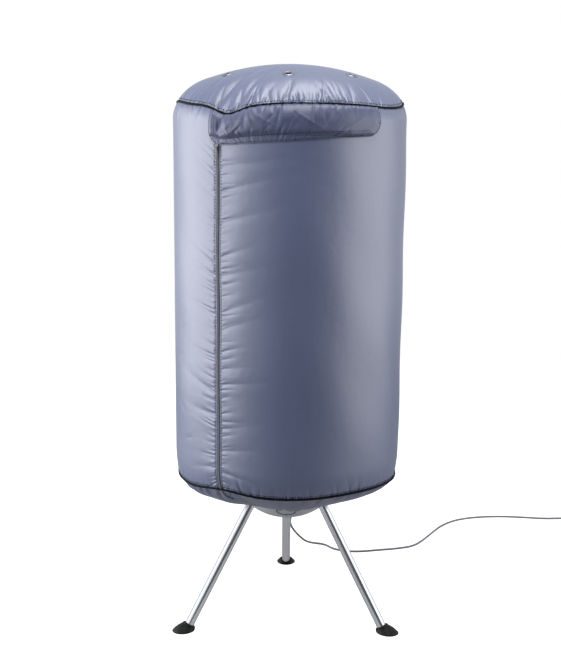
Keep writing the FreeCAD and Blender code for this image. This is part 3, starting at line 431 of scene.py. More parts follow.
# Drum wall. Two panels of coated nylon, sewn together at the back and to the zip at the front left. Warm
# air fills the cover, so the wall is round and smooth, and it puckers only where thread draws it in: at
# the round seams, at the back seam, and in a herringbone on both sides of the zip.
wall_turn_top = 0.04
wall_turn_bottom = 0.06
zip_azimuth = -34.6
zip_half_opening = 0.004
zip_thread = 0.0088
back_seam = zip_azimuth + 180
drum_radius = -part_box("cover_back_panel")[0].x
girth = 2 * math.pi * drum_radius
draws = np.random.default_rng(11)


def ring_of(node):
    """Circle radius, height and bar radius of a round node."""
    low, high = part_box(node)
    bar = (high.z - low.z) / 2
    return high.x - bar, (low.z + high.z) / 2, bar


top_seam_radius, top_seam_z, piping_bar = ring_of("top_piping")
bottom_seam_radius, bottom_seam_z, _ = ring_of("bottom_piping")


def profile_through(points):
    """Distances along a (radius, height) line, its points, and its outward normals."""
    points = np.array(points)
    along = np.concatenate([[0.0], np.cumsum(np.hypot(*np.diff(points, axis=0).T))])
    tangent = np.gradient(points, along, axis=0)
    tangent /= np.linalg.norm(tangent, axis=1)[:, None]
    return along, points, np.stack([tangent[:, 1], -tangent[:, 0]], axis=1)


def place_on(profile, azimuth, along, lift=0.0, drop=0.0):
    """Points at an azimuth in degrees and a distance along a profile, lifted off the cloth."""
    distances, points, normals = profile
    radius, height = [
        np.interp(along, distances, points[:, axis]) + np.interp(along, distances, normals[:, axis]) * lift
        for axis in (0, 1)
    ]
    angle = np.radians(azimuth)
    return np.stack([radius * np.sin(angle), -radius * np.cos(angle), height + drop], axis=-1)


def wall_radius(z):
    """Radius of the filled wall: straight, turning in to the seams at both ends."""
    low = np.clip((bottom_seam_z + wall_turn_bottom - z) / wall_turn_bottom, 0, 1)
    high = np.clip((z - top_seam_z + wall_turn_top) / wall_turn_top, 0, 1)
    inset_low = (drum_radius - bottom_seam_radius) * low ** 2
    inset_high = (drum_radius - top_seam_radius) * high ** 2
    return drum_radius - inset_low - inset_high


wall_heights = np.linspace(bottom_seam_z, top_seam_z, num=400)
wall_profile = profile_through(np.stack([wall_radius(wall_heights), wall_heights], axis=1))
wall_length = wall_profile[0][-1]

fold_jitter = 0.45
fold_few_strong = 1.5
fold_depth_shares = (0.6, 1.0)
fold_widens = 1.1
fold_fades = 1.3
fold_fade_power = 1.6
fold_start = 0.005
fold_start_share = 0.15
fold_ridge = 0.45
fold_sharpness = 1.25
fold_ridge_width = 2.2


def gathers(count, seam, reach, depth, width, slant=0.0, start=0.0):
    """Creases that run away from a seam: where along it, how far, how deep, how wide, how slanted."""
    places = np.arange(count) + 0.5 + draws.uniform(-fold_jitter, fold_jitter, count)
    strength = draws.uniform(0, 1, count) ** fold_few_strong
    return np.stack([
        start + seam / count * places,
        reach[0] + (reach[1] - reach[0]) * strength,
        depth[0] + (depth[1] - depth[0]) * strength * draws.uniform(*fold_depth_shares, count),
        draws.uniform(*width, count),
        draws.uniform(-slant, slant, count),
    ], axis=1)


def wrapped(offset, period):
    """The same offset on a ring, at most half way round."""
    return (offset + period / 2) % period - period / 2


def bell(offset, width):
    """1 in the middle, falling off softly to both sides."""
    return np.exp(-(offset / width) ** 2)


def creased(folds, along, away, period=None):
    """Height of cloth with sharp creases between round ridges, which widen and fade off the seam."""
    height = np.zeros_like(along)
    for centre, reach, depth, width, slant in folds:
        offset = along - centre - slant * away
        if period:
            offset = wrapped(offset, period)
        wide = width * (1 + fold_widens * np.clip(away / reach, 0, 2))
        near = (np.abs(offset) < 4 * wide) & (away < 2 * reach) & (away >= 0)
        spot = np.abs(offset[near]) / wide[near]
        fade = np.exp(-fold_fades * (away[near] / reach) ** fold_fade_power)
        fade *= np.clip(away[near] / fold_start, fold_start_share, 1)
        crease = fold_ridge - np.exp(-spot ** fold_sharpness)
        height[near] += depth * fade * crease * bell(spot, fold_ridge_width)
    return height


def crumpled(creases, x, y):
    """Height of short sharp ridges: the middle of each, its direction, half length, width and rise."""
    height = np.zeros_like(x)
    for middle_x, middle_y, angle, half, width, rise in creases:
        run = (x - middle_x) * math.cos(angle) + (y - middle_y) * math.sin(angle)
        off = (y - middle_y) * math.cos(angle) - (x - middle_x) * math.sin(angle)
        height += rise * np.exp(-np.abs(off) / width) * bell(run, half)
    return height


def bumps_along(azimuth, waves):
    """Sum of soft rises, each at an azimuth, with a half width in degrees and a height."""
    total = np.zeros_like(azimuth)
    for centre, width, rise in waves:
        total += rise * bell(wrapped(azimuth - centre, 360), width)
    return total


top_waves = [
    (-30.5, 8.5, -0.016), (-30, 18, -0.009), (-76, 14, 0.008), (55, 20, -0.0065), (94, 14, 0.011),
    (120, 22, -0.005), (165, 20, 0.004), (-150, 24, -0.005), (-110, 14, 0.003),
]
bottom_waves = [
    (-80, 26, -0.012), (-56, 8, -0.002), (-32, 14, 0.009), (30, 14, 0.002), (84, 24, -0.014),
    (128, 16, -0.003), (170, 22, 0.003), (-140, 20, -0.002),
]
top_wave_reach = 0.08
bottom_wave_reach = 0.06
patch_over_zip = 0.088
zip_top = wall_length - patch_over_zip
wall_top_folds = gathers(
    110, girth, reach=(0.01, 0.052), depth=(0.002, 0.006), width=(0.0026, 0.0052), slant=0.3,
)
wall_bottom_folds = gathers(
    130, girth, reach=(0.008, 0.034), depth=(0.0026, 0.0075), width=(0.0026, 0.005), slant=0.35,
)
zip_left_folds = np.concatenate([
    gathers(11, zip_top, reach=(0.06, 0.13), depth=(0.0018, 0.004), width=(0.006, 0.01)),
    gathers(70, zip_top, reach=(0.014, 0.052), depth=(0.0012, 0.0034), width=(0.0022, 0.004)),
    gathers(120, zip_top, reach=(0.006, 0.014), depth=(0.0008, 0.0015), width=(0.0016, 0.0024)),
])
zip_right_folds = np.concatenate([
    gathers(12, zip_top, reach=(0.06, 0.14), depth=(0.0018, 0.004), width=(0.006, 0.01)),
    gathers(58, zip_top, reach=(0.012, 0.046), depth=(0.0012, 0.0034), width=(0.0024, 0.0042)),
    gathers(120, zip_top, reach=(0.006, 0.014), depth=(0.0008, 0.0015), width=(0.0016, 0.0024)),
])
back_left_folds, back_right_folds = [
    gathers(44, wall_length, reach=(0.012, 0.05), depth=(0.0006, 0.002), width=(0.0032, 0.0056), slant=0.3)
    for _ in ("left", "right")
]
slant_jitter = 0.12
slant_at = np.array([0.0, 0.12, 0.5, 0.72, 0.87])
slant_left = np.array([-0.5, 0.15, 0.32, 0.5, 0.7])
slant_right = np.array([-0.4, 0.2, 0.28, 0.22, 0.05])
for folds, slants in ((zip_left_folds, slant_left), (zip_right_folds, slant_right)):
    folds[:, 4] = np.interp(folds[:, 0], slant_at, slants)
    folds[:, 4] += draws.uniform(-slant_jitter, slant_jitter, len(folds))
wall_creases = [
    (-0.15, 0.4, 0.55, 0.022, 0.004, -0.001), (-0.165, 0.33, 0.05, 0.018, 0.004, -0.0009),
    (-0.155, 0.2, -0.7, 0.02, 0.005, -0.001), (-0.14, 0.52, 0.7, 0.026, 0.005, -0.0008),
    (-0.13, 0.66, 0.6, 0.024, 0.005, -0.0007), (-0.12, 0.12, 0.3, 0.02, 0.005, -0.0009),
]
zip_thread_bite = 0.0009
panel_edge_turn = 0.0016
panel_edge_width = 0.001
back_seam_bite = 0.0014
back_gather_start = 0.003
seam_bite_width = 0.0022
sway_height = 0.0012
sway_up = 21
sway_lean = 3
sway_round = 5
sway_phase = 1.0


def from_seam(azimuth, seam):
    """Distance round the drum from an upright seam, positive to its right."""
    return np.radians(wrapped(azimuth - seam, 360)) * drum_radius


def round_drum(azimuth):
    """Distance round the drum from its front."""
    return np.radians(azimuth % 360) * drum_radius


def on_cloth(azimuth, along):
    """Azimuths and distances along as arrays of one shape, and the distances round the drum."""
    azimuth, along = np.broadcast_arrays(np.asarray(azimuth, float), np.asarray(along, float))
    return azimuth, along, round_drum(azimuth)


def wall_shape(azimuth, along, lift=0.0):
    """Points on the filled wall, or lifted off it."""
    azimuth, along, round_seam = on_cloth(azimuth, along)
    below_top = wall_length - along
    side = from_seam(azimuth, zip_azimuth)
    behind = from_seam(azimuth, back_seam)
    height = creased(wall_top_folds, round_seam, below_top, girth)
    height += creased(wall_bottom_folds, round_seam, along, girth)
    for folds, away in (
        (zip_right_folds, side - zip_thread),
        (zip_left_folds, -side - zip_thread),
        (back_right_folds, behind - back_gather_start),
        (back_left_folds, -behind - back_gather_start),
    ):
        height += creased(folds, along, away)
    height -= zip_thread_bite * bell(np.abs(side) - zip_thread, seam_bite_width)
    height -= panel_edge_turn * bell(np.abs(side) - zip_half_opening, panel_edge_width)
    height -= back_seam_bite * bell(behind, seam_bite_width)
    height += crumpled(wall_creases, side, along)
    turn = np.radians(azimuth)
    sway = sway_height * np.sin(sway_up * along + sway_lean * turn)
    height += sway * np.sin(sway_round * turn + sway_phase)
    drop = bumps_along(azimuth, top_waves) * bell(below_top, top_wave_reach)
    drop += bumps_along(azimuth, bottom_waves) * bell(along, bottom_wave_reach)
    return place_on(wall_profile, azimuth, along, height + lift, drop)


def places_of(mesh):
    """The mesh's points, one row each."""
    places = np.empty(len(mesh.vertices) * 3)
    mesh.vertices.foreach_get("co", places)
    return places.reshape(-1, 3)


def lay_out(mesh, flat, places):
    """Set the flat cloth in metres as the mesh's UV map, and move its points to their places."""
    corners = np.empty(len(mesh.loops), int)
    mesh.loops.foreach_get("vertex_index", corners)
    mesh.uv_layers.new(name="cloth").data.foreach_set("uv", flat[corners].ravel())
    mesh.vertices.foreach_set("co", places.ravel())
    mesh.update()


def puckered(azimuth, along, length, by_zip=0.0, by_back=0.0, by_start=0.0, by_end=0.0):
    """Whether cloth is within these distances of the zip, the back seam and its own two ends."""
    near = np.abs(from_seam(azimuth, zip_azimuth)) < by_zip
    near |= np.abs(from_seam(azimuth, back_seam)) < by_back
    return near | (along < by_start) | (along > length - by_end)


def cloth_sheet(name, material, start, turns, rows, shape, finer=()):
    """Sheet of cloth: a flat grid over turns in degrees and distances along, with smaller faces where it
    puckers, moved to its shape."""
    bm = bmesh.new()
    bmesh.ops.create_grid(bm, x_segments=len(turns) - 1, y_segments=len(rows) - 1, size=0.5)
    columns = np.linspace(-0.5, 0.5, len(turns))
    lines = np.linspace(-0.5, 0.5, len(rows))
    for zone in finer:
        middles = np.array([face.calc_center_median() for face in bm.faces])
        azimuth = start + np.interp(middles[:, 0], columns, turns)
        chosen = puckered(azimuth, np.interp(middles[:, 1], lines, rows), rows[-1], **zone)
        edges = {edge for face, near in zip(bm.faces, chosen) if near for edge in face.edges}
        bmesh.ops.subdivide_edges(bm, edges=list(edges), cuts=1, use_grid_fill=True)
    piece = new_piece(name, bm, material)
    grid = places_of(piece.data)
    turned = np.interp(grid[:, 0], columns, turns)
    along = np.interp(grid[:, 1], lines, rows)
    flat = np.stack([np.radians(turned) * drum_radius, along], axis=1)
    lay_out(piece.data, flat, shape(start + turned, along))
    return piece


def coated_nylon(name, dark, light, roughness, gloss):
    """Close plain weave with a thin coating: fine streaks of thread both ways and a silky gloss."""
    material, tree, shader = new_finish(name, roughness)
    weft = speckle(tree, (0.06, 0.0018, 1.0), source="UV", detail=2.0)
    warp = speckle(tree, (0.003, 0.16, 1.0), source="UV", detail=2.0)
    weave = combined(tree, "MULTIPLY", combined(tree, "ADD", warp, weft), 0.5)
    tint(tree, shader, weave, dark, light)
    slack = speckle(tree, (0.022,) * 3, detail=4.0)
    relief(tree, shader, weave, height=0.00014)
    relief(tree, shader, slack, height=0.0006)
    shader.inputs["Sheen Weight"].default_value = 0.04
    shader.inputs["Sheen Roughness"].default_value = 0.45
    shader.inputs["Sheen Tint"].default_value = paint(205, 212, 235)
    shader.inputs["IOR"].default_value = 1.7
    shader.inputs["Specular IOR Level"].default_value = gloss
    return material


cover_nylon = coated_nylon("cover_nylon", (84, 95, 131), (92, 103, 139), roughness=0.43, gloss=1.0)
cloth_step = 0.005


def in_steps(length):
    """Distances along a cloth in even steps."""
    return np.linspace(0, length, round(length / cloth_step) + 1)


wall_rows = in_steps(wall_length)
panel_width = girth / 2 - zip_half_opening
panel_turns = np.degrees(in_steps(panel_width) / drum_radius)
zip_edge = math.degrees(zip_half_opening / drum_radius)
for name, start in (
    ("cover_front_panel", zip_azimuth + zip_edge),
    ("cover_back_panel", zip_azimuth - 180),
):
    panel = cloth_sheet(
        f"{name}_cloth", cover_nylon, start, panel_turns, wall_rows, wall_shape,
        finer=[{"by_zip": 0.13, "by_back": 0.04, "by_start": 0.045, "by_end": 0.055}, {"by_zip": 0.048}],
    )
    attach(panel, "stand")
    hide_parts(name)

# Crown. One round panel of the same nylon, eased into the top seam, so that gathers run up from the
# piping. On the left the seam has slipped down, and long folds run up from there towards the vents.
crown_radius = 0.6
crown_reach = 0.215
crown_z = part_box("cover_crown")[1].z
eyelet_circle = 0.196
eyelet_count = 7
eyelet_first = -1.5
eyelet_hole = 0.0115
eyelet_flat = 0.018
eyelet_turns = [math.radians(eyelet_first + 360 * index / eyelet_count) for index in range(eyelet_count)]


def crown_line():
    """The seam, the shoulder and the flat middle of the crown, from the seam up."""
    lean = math.asin(crown_reach / crown_radius)
    dome_middle = crown_z - crown_radius
    joint = np.array([crown_reach, dome_middle + crown_radius * math.cos(lean)])
    normal = np.array([math.sin(lean), math.cos(lean)])
    chord = np.array([top_seam_radius, top_seam_z]) - joint
    shoulder = chord.dot(chord) / (-2 * chord.dot(normal))
    middle = joint - shoulder * normal
    seam_angle = math.atan2(top_seam_z - middle[1], top_seam_radius - middle[0])
    points = []
    for angle in np.linspace(seam_angle, math.pi / 2 - lean, num=60)[:-1]:
        points.append((middle[0] + shoulder * math.cos(angle), middle[1] + shoulder * math.sin(angle)))
    for angle in np.linspace(lean, 0.0, num=80):
        points.append((crown_radius * math.sin(angle), dome_middle + crown_radius * math.cos(angle)))
    return points


crown_profile = profile_through(crown_line())
crown_length = crown_profile[0][-1]
crown_wave_reach = 0.075
crown_folds = gathers(
    128, girth, reach=(0.012, 0.056), depth=(0.0024, 0.0078), width=(0.0026, 0.0052), slant=0.3,
)
front_start = -14
front_run = 0.25
front_folds = gathers(
    22, front_run, reach=(0.016, 0.066), depth=(0.003, 0.009), width=(0.0028, 0.0056), slant=0.4,
    start=round_drum(front_start),
)
slipped_folds = np.array([
    [round_drum(-47), 0.08, 0.005, 0.01, -0.1],
    [round_drum(-38), 0.12, 0.01, 0.011, 0.32],
    [round_drum(-32), 0.07, 0.007, 0.007, 0.1],
    [round_drum(-27), 0.13, 0.01, 0.012, 0.45],
    [round_drum(-19), 0.08, 0.006, 0.008, 0.3],
])


def crown_shape(azimuth, along, lift=0.0):
    """Points on the crown, which lies flat round its vents."""
    azimuth, along, round_seam = on_cloth(azimuth, along)
    height = np.zeros_like(along)
    for folds in (crown_folds, front_folds, slipped_folds):
        height += creased(folds, round_seam, along, girth)
    drop = bumps_along(azimuth, top_waves) * bell(along, crown_wave_reach)
    out = np.interp(along, crown_profile[0], crown_profile[1][:, 0])
    turn = np.radians(azimuth)
    for vent in eyelet_turns:
        apart = np.sqrt(out ** 2 + eyelet_circle ** 2 - 2 * out * eyelet_circle * np.cos(turn - vent))
        flat = np.clip((apart - eyelet_flat) / eyelet_flat, 0, 1)
        height *= flat
        drop *= flat
    return place_on(crown_profile, azimuth, along, height + lift, drop)


def closed_up(piece, holes=()):
    """Sew a sheet that goes all the way round to itself, and cut round holes (x, y, radius) in it."""
    bm = bmesh.new()
    bm.from_mesh(piece.data)
    bmesh.ops.remove_doubles(bm, verts=bm.verts[:], dist=1e-6)
    for x, y, radius in holes:
        hole = Vector((x, y))
        cut = [face for face in bm.faces if (face.calc_center_median().xy - hole).length < radius]
        bmesh.ops.delete(bm, geom=cut, context="FACES")
    bm.to_mesh(piece.data)
    bm.free()


full_turn = np.linspace(0, 360, num=481)
crown = cloth_sheet(
    "cover_crown_cloth", cover_nylon, -180.0, full_turn, in_steps(crown_length), crown_shape,
    finer=[{"by_start": 0.075}, {"by_start": 0.028}],
)
closed_up(crown, [
    (eyelet_circle * math.sin(turn), -eyelet_circle * math.cos(turn), eyelet_hole) for turn in eyelet_turns
])
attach(crown, "stand")
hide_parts("cover_crown")

# Base. A cone of the same nylon from the bottom seam in to the bowl, drawn up by its elastic hem, so
# that soft gathers run out from the hem and its lower outline is uneven.
base_bulge = 0.016
hem_radius, hem_z, hem_bar = ring_of("hem_elastic")
base_slack = [
    (-62, 22, 0.008), (-36, 9, 0.008), (5, 26, -0.004), (62, 18, 0.004), (110, 24, 0.008),
    (180, 30, 0.006),
]
base_drawn_in = [(-22, 20, -0.01), (34, 20, -0.006), (0, 12, 0.003)]


def base_line():
    """Arc from the hem out to the bottom seam."""
    hem = np.array([hem_radius, hem_z])
    seam = np.array([bottom_seam_radius, bottom_seam_z])
    chord = seam - hem
    out = np.array([chord[1], -chord[0]]) / np.linalg.norm(chord)
    share = np.linspace(0, 1, num=60)[:, None]
    return hem + chord * share + out * base_bulge * 4 * share * (1 - share)


base_profile = profile_through(base_line())
base_length = base_profile[0][-1]
hem_start = 0.02
slack_outward = 2.5
drawn_inward = 0.8
base_seam_folds = gathers(
    80, girth, reach=(0.016, 0.056), depth=(0.005, 0.0135), width=(0.0036, 0.0072), slant=0.4,
)
hem_folds = gathers(46, girth, reach=(0.05, 0.11), depth=(0.006, 0.013), width=(0.006, 0.012), slant=0.3)


def base_shape(azimuth, along, lift=0.0):
    """Points on the base, or lifted off it."""
    azimuth, along, round_seam = on_cloth(azimuth, along)
    share = along / base_length
    height = creased(base_seam_folds, round_seam, base_length - along, girth)
    height += creased(hem_folds, round_seam, along, girth) * np.clip(along / hem_start, 0, 1)
    height += bumps_along(azimuth, base_slack) * np.sin(np.pi * share ** slack_outward)
    height += bumps_along(azimuth, base_drawn_in) * np.sin(np.pi * share ** drawn_inward)
    drop = bumps_along(azimuth, bottom_waves) * bell(base_length - along, bottom_wave_reach)
    return place_on(base_profile, azimuth, along, height + lift, drop)


base = cloth_sheet(
    "cover_base_cloth", cover_nylon, -180.0, full_turn, in_steps(base_length), base_shape,
    finer=[{"by_end": 0.055}],
)
closed_up(base)
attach(base, "stand")
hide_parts("cover_base")

# Piping and hem. Black cord covered with bias strip, sewn into the two round seams and following their
# waves, and the elastic in its casing, drawn up round the bowl.
piping_stands_out = 0.0015
ripple = gathers(150, girth, reach=(1, 1), depth=(0.0003, 0.0011), width=(0.005, 0.008))
ripple_off_seam = 0.004
ring_steps = 600
bar_steps = 10


def sewn_ring(name, material, radius, height, bar, waves, ripple_share=1.0):
    """Round bar in a ring, which follows the waves of its seam."""
    bm = bmesh.new()
    bmesh.ops.create_grid(bm, x_segments=ring_steps, y_segments=bar_steps, size=0.5)
    piece = new_piece(name, bm, material)
    share = places_of(piece.data) + 0.5
    azimuth = np.rint(share[:, 0] * ring_steps) * 360 / ring_steps
    round_bar = np.rint(share[:, 1] * bar_steps) * 2 * math.pi / bar_steps
    where = round_drum(azimuth)
    rise = bumps_along(azimuth, waves)
    rise += creased(ripple, where, np.full_like(where, ripple_off_seam), girth) * ripple_share
    rise += height + bar * np.sin(round_bar)
    reach = radius + bar * np.cos(round_bar)
    turn = np.radians(azimuth)
    places = np.stack([reach * np.sin(turn), -reach * np.cos(turn), rise], axis=1)
    piece.data.vertices.foreach_set("co", places.ravel())
    closed_up(piece)
    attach(piece, "stand")
    return piece


def woven_cord(name, dark, light, gloss=0.2):
    """Closely woven strip over a round core."""
    material, tree, shader = new_finish(name, roughness=0.6)
    ribs = speckle(tree, (0.0012,) * 3, detail=1.0)
    tint(tree, shader, ribs, dark, light)
    relief(tree, shader, ribs, height=0.0003)
    shader.inputs["Specular IOR Level"].default_value = gloss
    return material


piping_cloth = woven_cord("piping_cloth", (4, 4, 6), (11, 11, 14), gloss=0.08)
for name, seam, waves in (
    ("top_piping", (top_seam_radius, top_seam_z), top_waves),
    ("bottom_piping", (bottom_seam_radius, bottom_seam_z), bottom_waves),
):
    radius = seam[0] + piping_stands_out
    piping = sewn_ring(f"{name}_cord", piping_cloth, radius, seam[1], piping_bar, waves)
    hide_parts(name)
hem = sewn_ring("hem_casing", cover_nylon, hem_radius, hem_z, hem_bar, waves=[], ripple_share=0.0)
hem.data.uv_layers.new(name="cloth")
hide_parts("hem_elastic")

# Vent eyelets. Seven nickel-plated brass rings that let the damp air out, pressed into the crown and
# rolled over at the back.
dress(grained(
    "eyelet_nickel", (122, 124, 128), (144, 146, 150),
    grain=0.0015, height=0.00003, roughness=0.3, metallic=1.0,
), "eyelets")

# Zip. Two woven tapes behind the panels' edges, the meshed row of moulded teeth between them, which runs
# on over the bottom seam, and a painted slider with its tab below the patch.
dress(grained(
    "slider_paint", (104, 106, 109), (120, 122, 125), grain=0.0008, height=0.00003, roughness=0.36,
), "zip_slider", "zip_pull")
tape_cloth = woven_cord("tape_cloth", (82, 85, 94), (98, 101, 110))
tape_width = 0.0085
tape_depth = 0.0005
tape_turns = np.degrees(np.linspace(0, tape_width, num=7) / drum_radius)
for name, start in (("zip_tape_left", zip_azimuth - tape_turns[-1]), ("zip_tape_right", zip_azimuth)):
    tape = cloth_sheet(
        name, tape_cloth, start, tape_turns, wall_rows,
        lambda azimuth, along: wall_shape(azimuth, along, -tape_depth),
    )
    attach(tape, "stand")
    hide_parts("zip_tapes")

zip_tail = 0.04
tail_bend = 4.0
tail_bend_power = 1.5
tail_lift = 0.0008


def tail_shape(azimuth, down, lift=0.0):
    """The zip's end on the base, below the seam, which bends to the right."""
    bend = tail_bend * (down / zip_tail) ** tail_bend_power
    return base_shape(azimuth + bend, base_length - down, tail_lift + lift)


tail_turns = np.degrees(np.linspace(-zip_half_opening, zip_half_opening, num=5) / drum_radius)
tail_rows = np.linspace(zip_tail, 0, num=18)
tail = cloth_sheet("zip_tape_end", tape_cloth, zip_azimuth, tail_turns, tail_rows, tail_shape)
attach(tail, "stand")

tooth_pitch = 0.003
tooth_size = (0.0017, 0.0008, 0.0012)
tooth_lift = 0.0004
tooth_offset = 0.0011
tooth_first = 0.002
row_end = 0.012


def add_bars(joined, size, start, step, count, bend):
    """Add a row of small rounded bars: laid out on flat cloth, round the drum, along it and off it, and
    then bent to their places."""
    bar = bmesh.new()
    bmesh.ops.create_uvsphere(bar, u_segments=6, v_segments=4, radius=1.0)
    bar.verts.index_update()
    points = np.array([vert.co for vert in bar.verts]) * size + start
    row = points + np.arange(count)[:, None, None] * np.array(step)
    for places in bend(row.reshape(-1, 3)).reshape(row.shape):
        verts = [joined.verts.new(place) for place in places]
        for face in bar.faces:
            joined.faces.new([verts[vert.index] for vert in face.verts])
    bar.free()


def around(shape, azimuth):
    """Way to bend flat cloth round the drum from an azimuth."""
    return lambda flat: shape(azimuth + np.degrees(flat[:, 0] / drum_radius), flat[:, 1], flat[:, 2])


teeth_mesh = bmesh.new()
for side, lead_in in ((-1, tooth_first), (1, tooth_first + tooth_pitch / 2)):
    start = (side * tooth_offset, lead_in, tooth_lift)
    for shape, run in ((wall_shape, wall_length - row_end), (tail_shape, zip_tail)):
        count = int(run / tooth_pitch)
        add_bars(teeth_mesh, tooth_size, start, (0, tooth_pitch, 0), count, around(shape, zip_azimuth))
bmesh.ops.recalc_face_normals(teeth_mesh, faces=teeth_mesh.faces[:])
tooth_plastic = grained(
    "tooth_plastic", (130, 133, 140), (150, 153, 159), grain=0.001, height=0.00002, roughness=0.34,
)
teeth = new_piece("zip_teeth", teeth_mesh, tooth_plastic)
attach(teeth, "stand")
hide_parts("zip_chain")

# Front patch. A second layer of the nylon with rounded lower corners, sewn over the zip's top end and
# into the top seam. It is cut a little full, so it stands proud of a stitched band and crumples.
patch_left = -39.8
patch_right = 45.9
patch_low = 0.093
patch_rise = 0.016
patch_rise_start = -15
patch_rise_turn = 52
patch_corner_left = 0.034
patch_corner_right = 0.046
patch_lift = 0.002
patch_full = 0.0085
patch_seam_gap = 0.002
patch_least_lift = -0.0004
patch_hold = 0.004
patch_band = 0.019
band_end = 28
band_turn = 42
band_power = 0.7
band_fold_shift = 0.004
band_fold_share = 0.8
swell_reach = 0.008
swell_power = 1.6
crease_start = 0.01
dent_start = 0.006
patch_width = math.radians(patch_right - patch_left) * drum_radius
patch_folds_low = gathers(
    44, patch_width, reach=(0.005, 0.024), depth=(0.001, 0.0042), width=(0.0017, 0.0034), slant=0.5,
)
patch_folds_high = gathers(
    40, patch_width, reach=(0.006, 0.032), depth=(0.001, 0.0044), width=(0.0022, 0.0044), slant=0.6,
)
patch_folds_right = gathers(
    15, patch_low, reach=(0.005, 0.018), depth=(0.0018, 0.0046), width=(0.0016, 0.003), slant=0.5,
)
patch_folds_left = gathers(
    11, patch_low, reach=(0.004, 0.014), depth=(0.0006, 0.0016), width=(0.0018, 0.0034), slant=0.5,
)
crease_count = 26
patch_creases = np.stack([
    draws.uniform(0.03, 0.43, crease_count),
    draws.uniform(0.025, 0.085, crease_count),
    draws.choice([-1, 1, 1], crease_count) * draws.uniform(0.5, 1.35, crease_count),
    draws.uniform(0.012, 0.034, crease_count),
    draws.uniform(0.004, 0.01, crease_count),
    draws.choice([-1, 1], crease_count) * draws.uniform(0.0006, 0.002, crease_count),
], axis=1)
patch_dents = [
    (0.034, 0.06, 1.35, 0.03, 0.008, -0.008), (0.014, 0.058, 1.7, 0.026, 0.006, 0.0018),
    (0.06, 0.058, 1.25, 0.026, 0.012, 0.0026), (0.085, 0.04, 0.9, 0.022, 0.006, -0.0016),
]


def corner(height, radius):
    """Share of a rounded corner's radius that is cut away at a height above its lower edge."""
    level = np.clip(1 - height / radius, 0, 1)
    return 1 - np.sqrt(1 - level ** 2)


def patch_shape(across, up, thread=0.0):
    """Points of the patch: across runs 0 to 1 from left to right, up from 0 at the lower edge to 1."""
    cut_left = patch_corner_left * corner(up * patch_low, patch_corner_left)
    cut_right = patch_corner_right * corner(up * patch_low, patch_corner_right)
    left = patch_left + np.degrees(cut_left / drum_radius)
    right = patch_right - np.degrees(cut_right / drum_radius)
    azimuth = left + (right - left) * across
    tilt = patch_rise * np.clip((azimuth - patch_rise_start) / patch_rise_turn, 0, 1)
    low = wall_length - patch_low + tilt
    along = low + (wall_length - patch_seam_gap - low) * up
    from_left = across * patch_width
    from_right = (1 - across) * patch_width
    rise = up * patch_low
    below_seam = (1 - up) * patch_low
    band = patch_band * np.clip((band_end - azimuth) / band_turn, 0, 1) ** band_power
    above_band = np.maximum(rise - band, 0)
    edge = np.minimum.reduce([from_left, from_right, below_seam])
    inner = np.minimum(edge, above_band)
    swell = patch_full * (1 - np.exp(-(inner / swell_reach) ** swell_power))
    crumple = creased(patch_folds_low, from_left, above_band)
    crumple += creased(patch_folds_high, from_left, below_seam)
    crumple += creased(patch_folds_right, rise, from_right) + creased(patch_folds_left, rise, from_left)
    crumple += crumpled(patch_creases, from_left, rise) * np.clip(inner / crease_start, 0, 1)
    crumple += crumpled(patch_dents, from_left, rise) * np.clip(inner / dent_start, 0, 1)
    crumple += creased(patch_folds_low, from_left + band_fold_shift, rise) * band_fold_share
    crumple *= np.clip(np.minimum(edge, rise) / patch_hold, 0, 1)
    lift = patch_lift + np.maximum(swell + crumple, patch_least_lift)
    return wall_shape(azimuth, along, lift + thread)


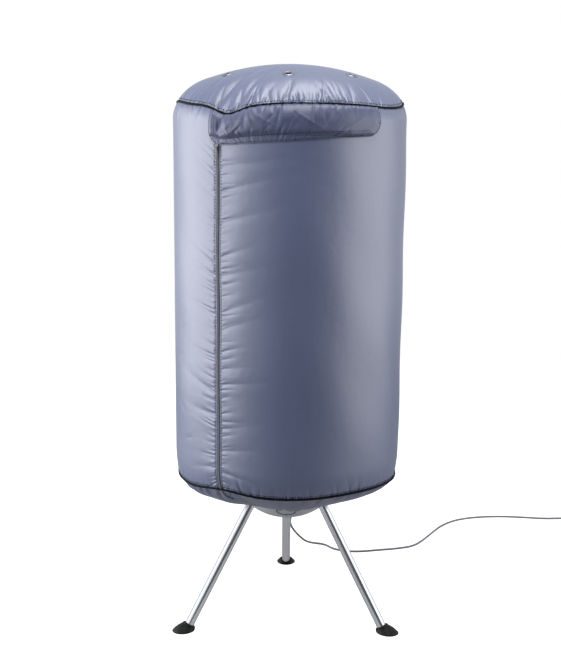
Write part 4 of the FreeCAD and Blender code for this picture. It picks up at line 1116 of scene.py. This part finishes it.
patch_row_power = 1.15
bm = bmesh.new()
bmesh.ops.create_grid(bm, x_segments=300, y_segments=70, size=0.5)
patch_nylon = coated_nylon("patch_nylon", (76, 84, 116), (84, 92, 124), roughness=0.4, gloss=0.45)
patch = new_piece("front_patch_cloth", bm, patch_nylon)
share = places_of(patch.data)[:, :2] + 0.5
flat = share * (patch_width, patch_low)
lay_out(patch.data, flat, patch_shape(share[:, 0], share[:, 1] ** patch_row_power))
hemmed = patch.modifiers.new("cloth_thickness", "SOLIDIFY")
hemmed.thickness = 0.001
hemmed.offset = -1.0
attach(patch, "stand")
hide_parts("front_patch")

# Thread. Lock stitches in dark blue-grey polyester: a row down each side of the zip and of the back seam,
# one beside each round seam, two along the patch's lower band and one up each of its ends.
stitch_pitch = 0.0075
stitch_long = 0.0021
stitch_wide = 0.0013
stitch_high = 0.0007
stitch_lift = 0.0007
first_stitch = 0.006
back_thread = 0.005
ring_thread = 0.0075
patch_row_start = 0.05
patch_row_run = 0.9 * patch_width
patch_rows_up = (0.045, 0.2)
patch_end_thread = 0.004
patch_end_row = 0.082
thread_mesh = bmesh.new()


def sew(across, along, run, bend, upward=True):
    """Add a row of stitches from a place on flat cloth, upward or to the right."""
    size = (stitch_wide, stitch_long, stitch_high) if upward else (stitch_long, stitch_wide, stitch_high)
    step = (0, stitch_pitch, 0) if upward else (stitch_pitch, 0, 0)
    add_bars(thread_mesh, size, (across, along, stitch_lift), step, int(run / stitch_pitch), bend)


def on_patch(flat):
    """Places of flat cloth on the patch."""
    return patch_shape(flat[:, 0] / patch_width, flat[:, 1] / patch_low, flat[:, 2])


for seam, offset, run in (
    (zip_azimuth, -zip_thread, zip_top),
    (zip_azimuth, zip_thread, zip_top),
    (back_seam, -back_thread, wall_length - row_end),
    (back_seam, back_thread, wall_length - row_end),
):
    sew(offset, first_stitch, run, around(wall_shape, seam))
for shape in (crown_shape, wall_shape):
    sew(0, ring_thread, girth, around(shape, 0), upward=False)
for up in patch_rows_up:
    sew(patch_row_start * patch_width, up * patch_low, patch_row_run, on_patch, upward=False)
for inset in (patch_end_thread, patch_width - patch_end_thread):
    sew(inset, first_stitch, patch_end_row, on_patch)
bmesh.ops.recalc_face_normals(thread_mesh, faces=thread_mesh.faces[:])
thread_polyester = woven_cord("thread_polyester", (40, 44, 58), (56, 60, 76))
thread = new_piece("thread", thread_mesh, thread_polyester)
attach(thread, "stand")
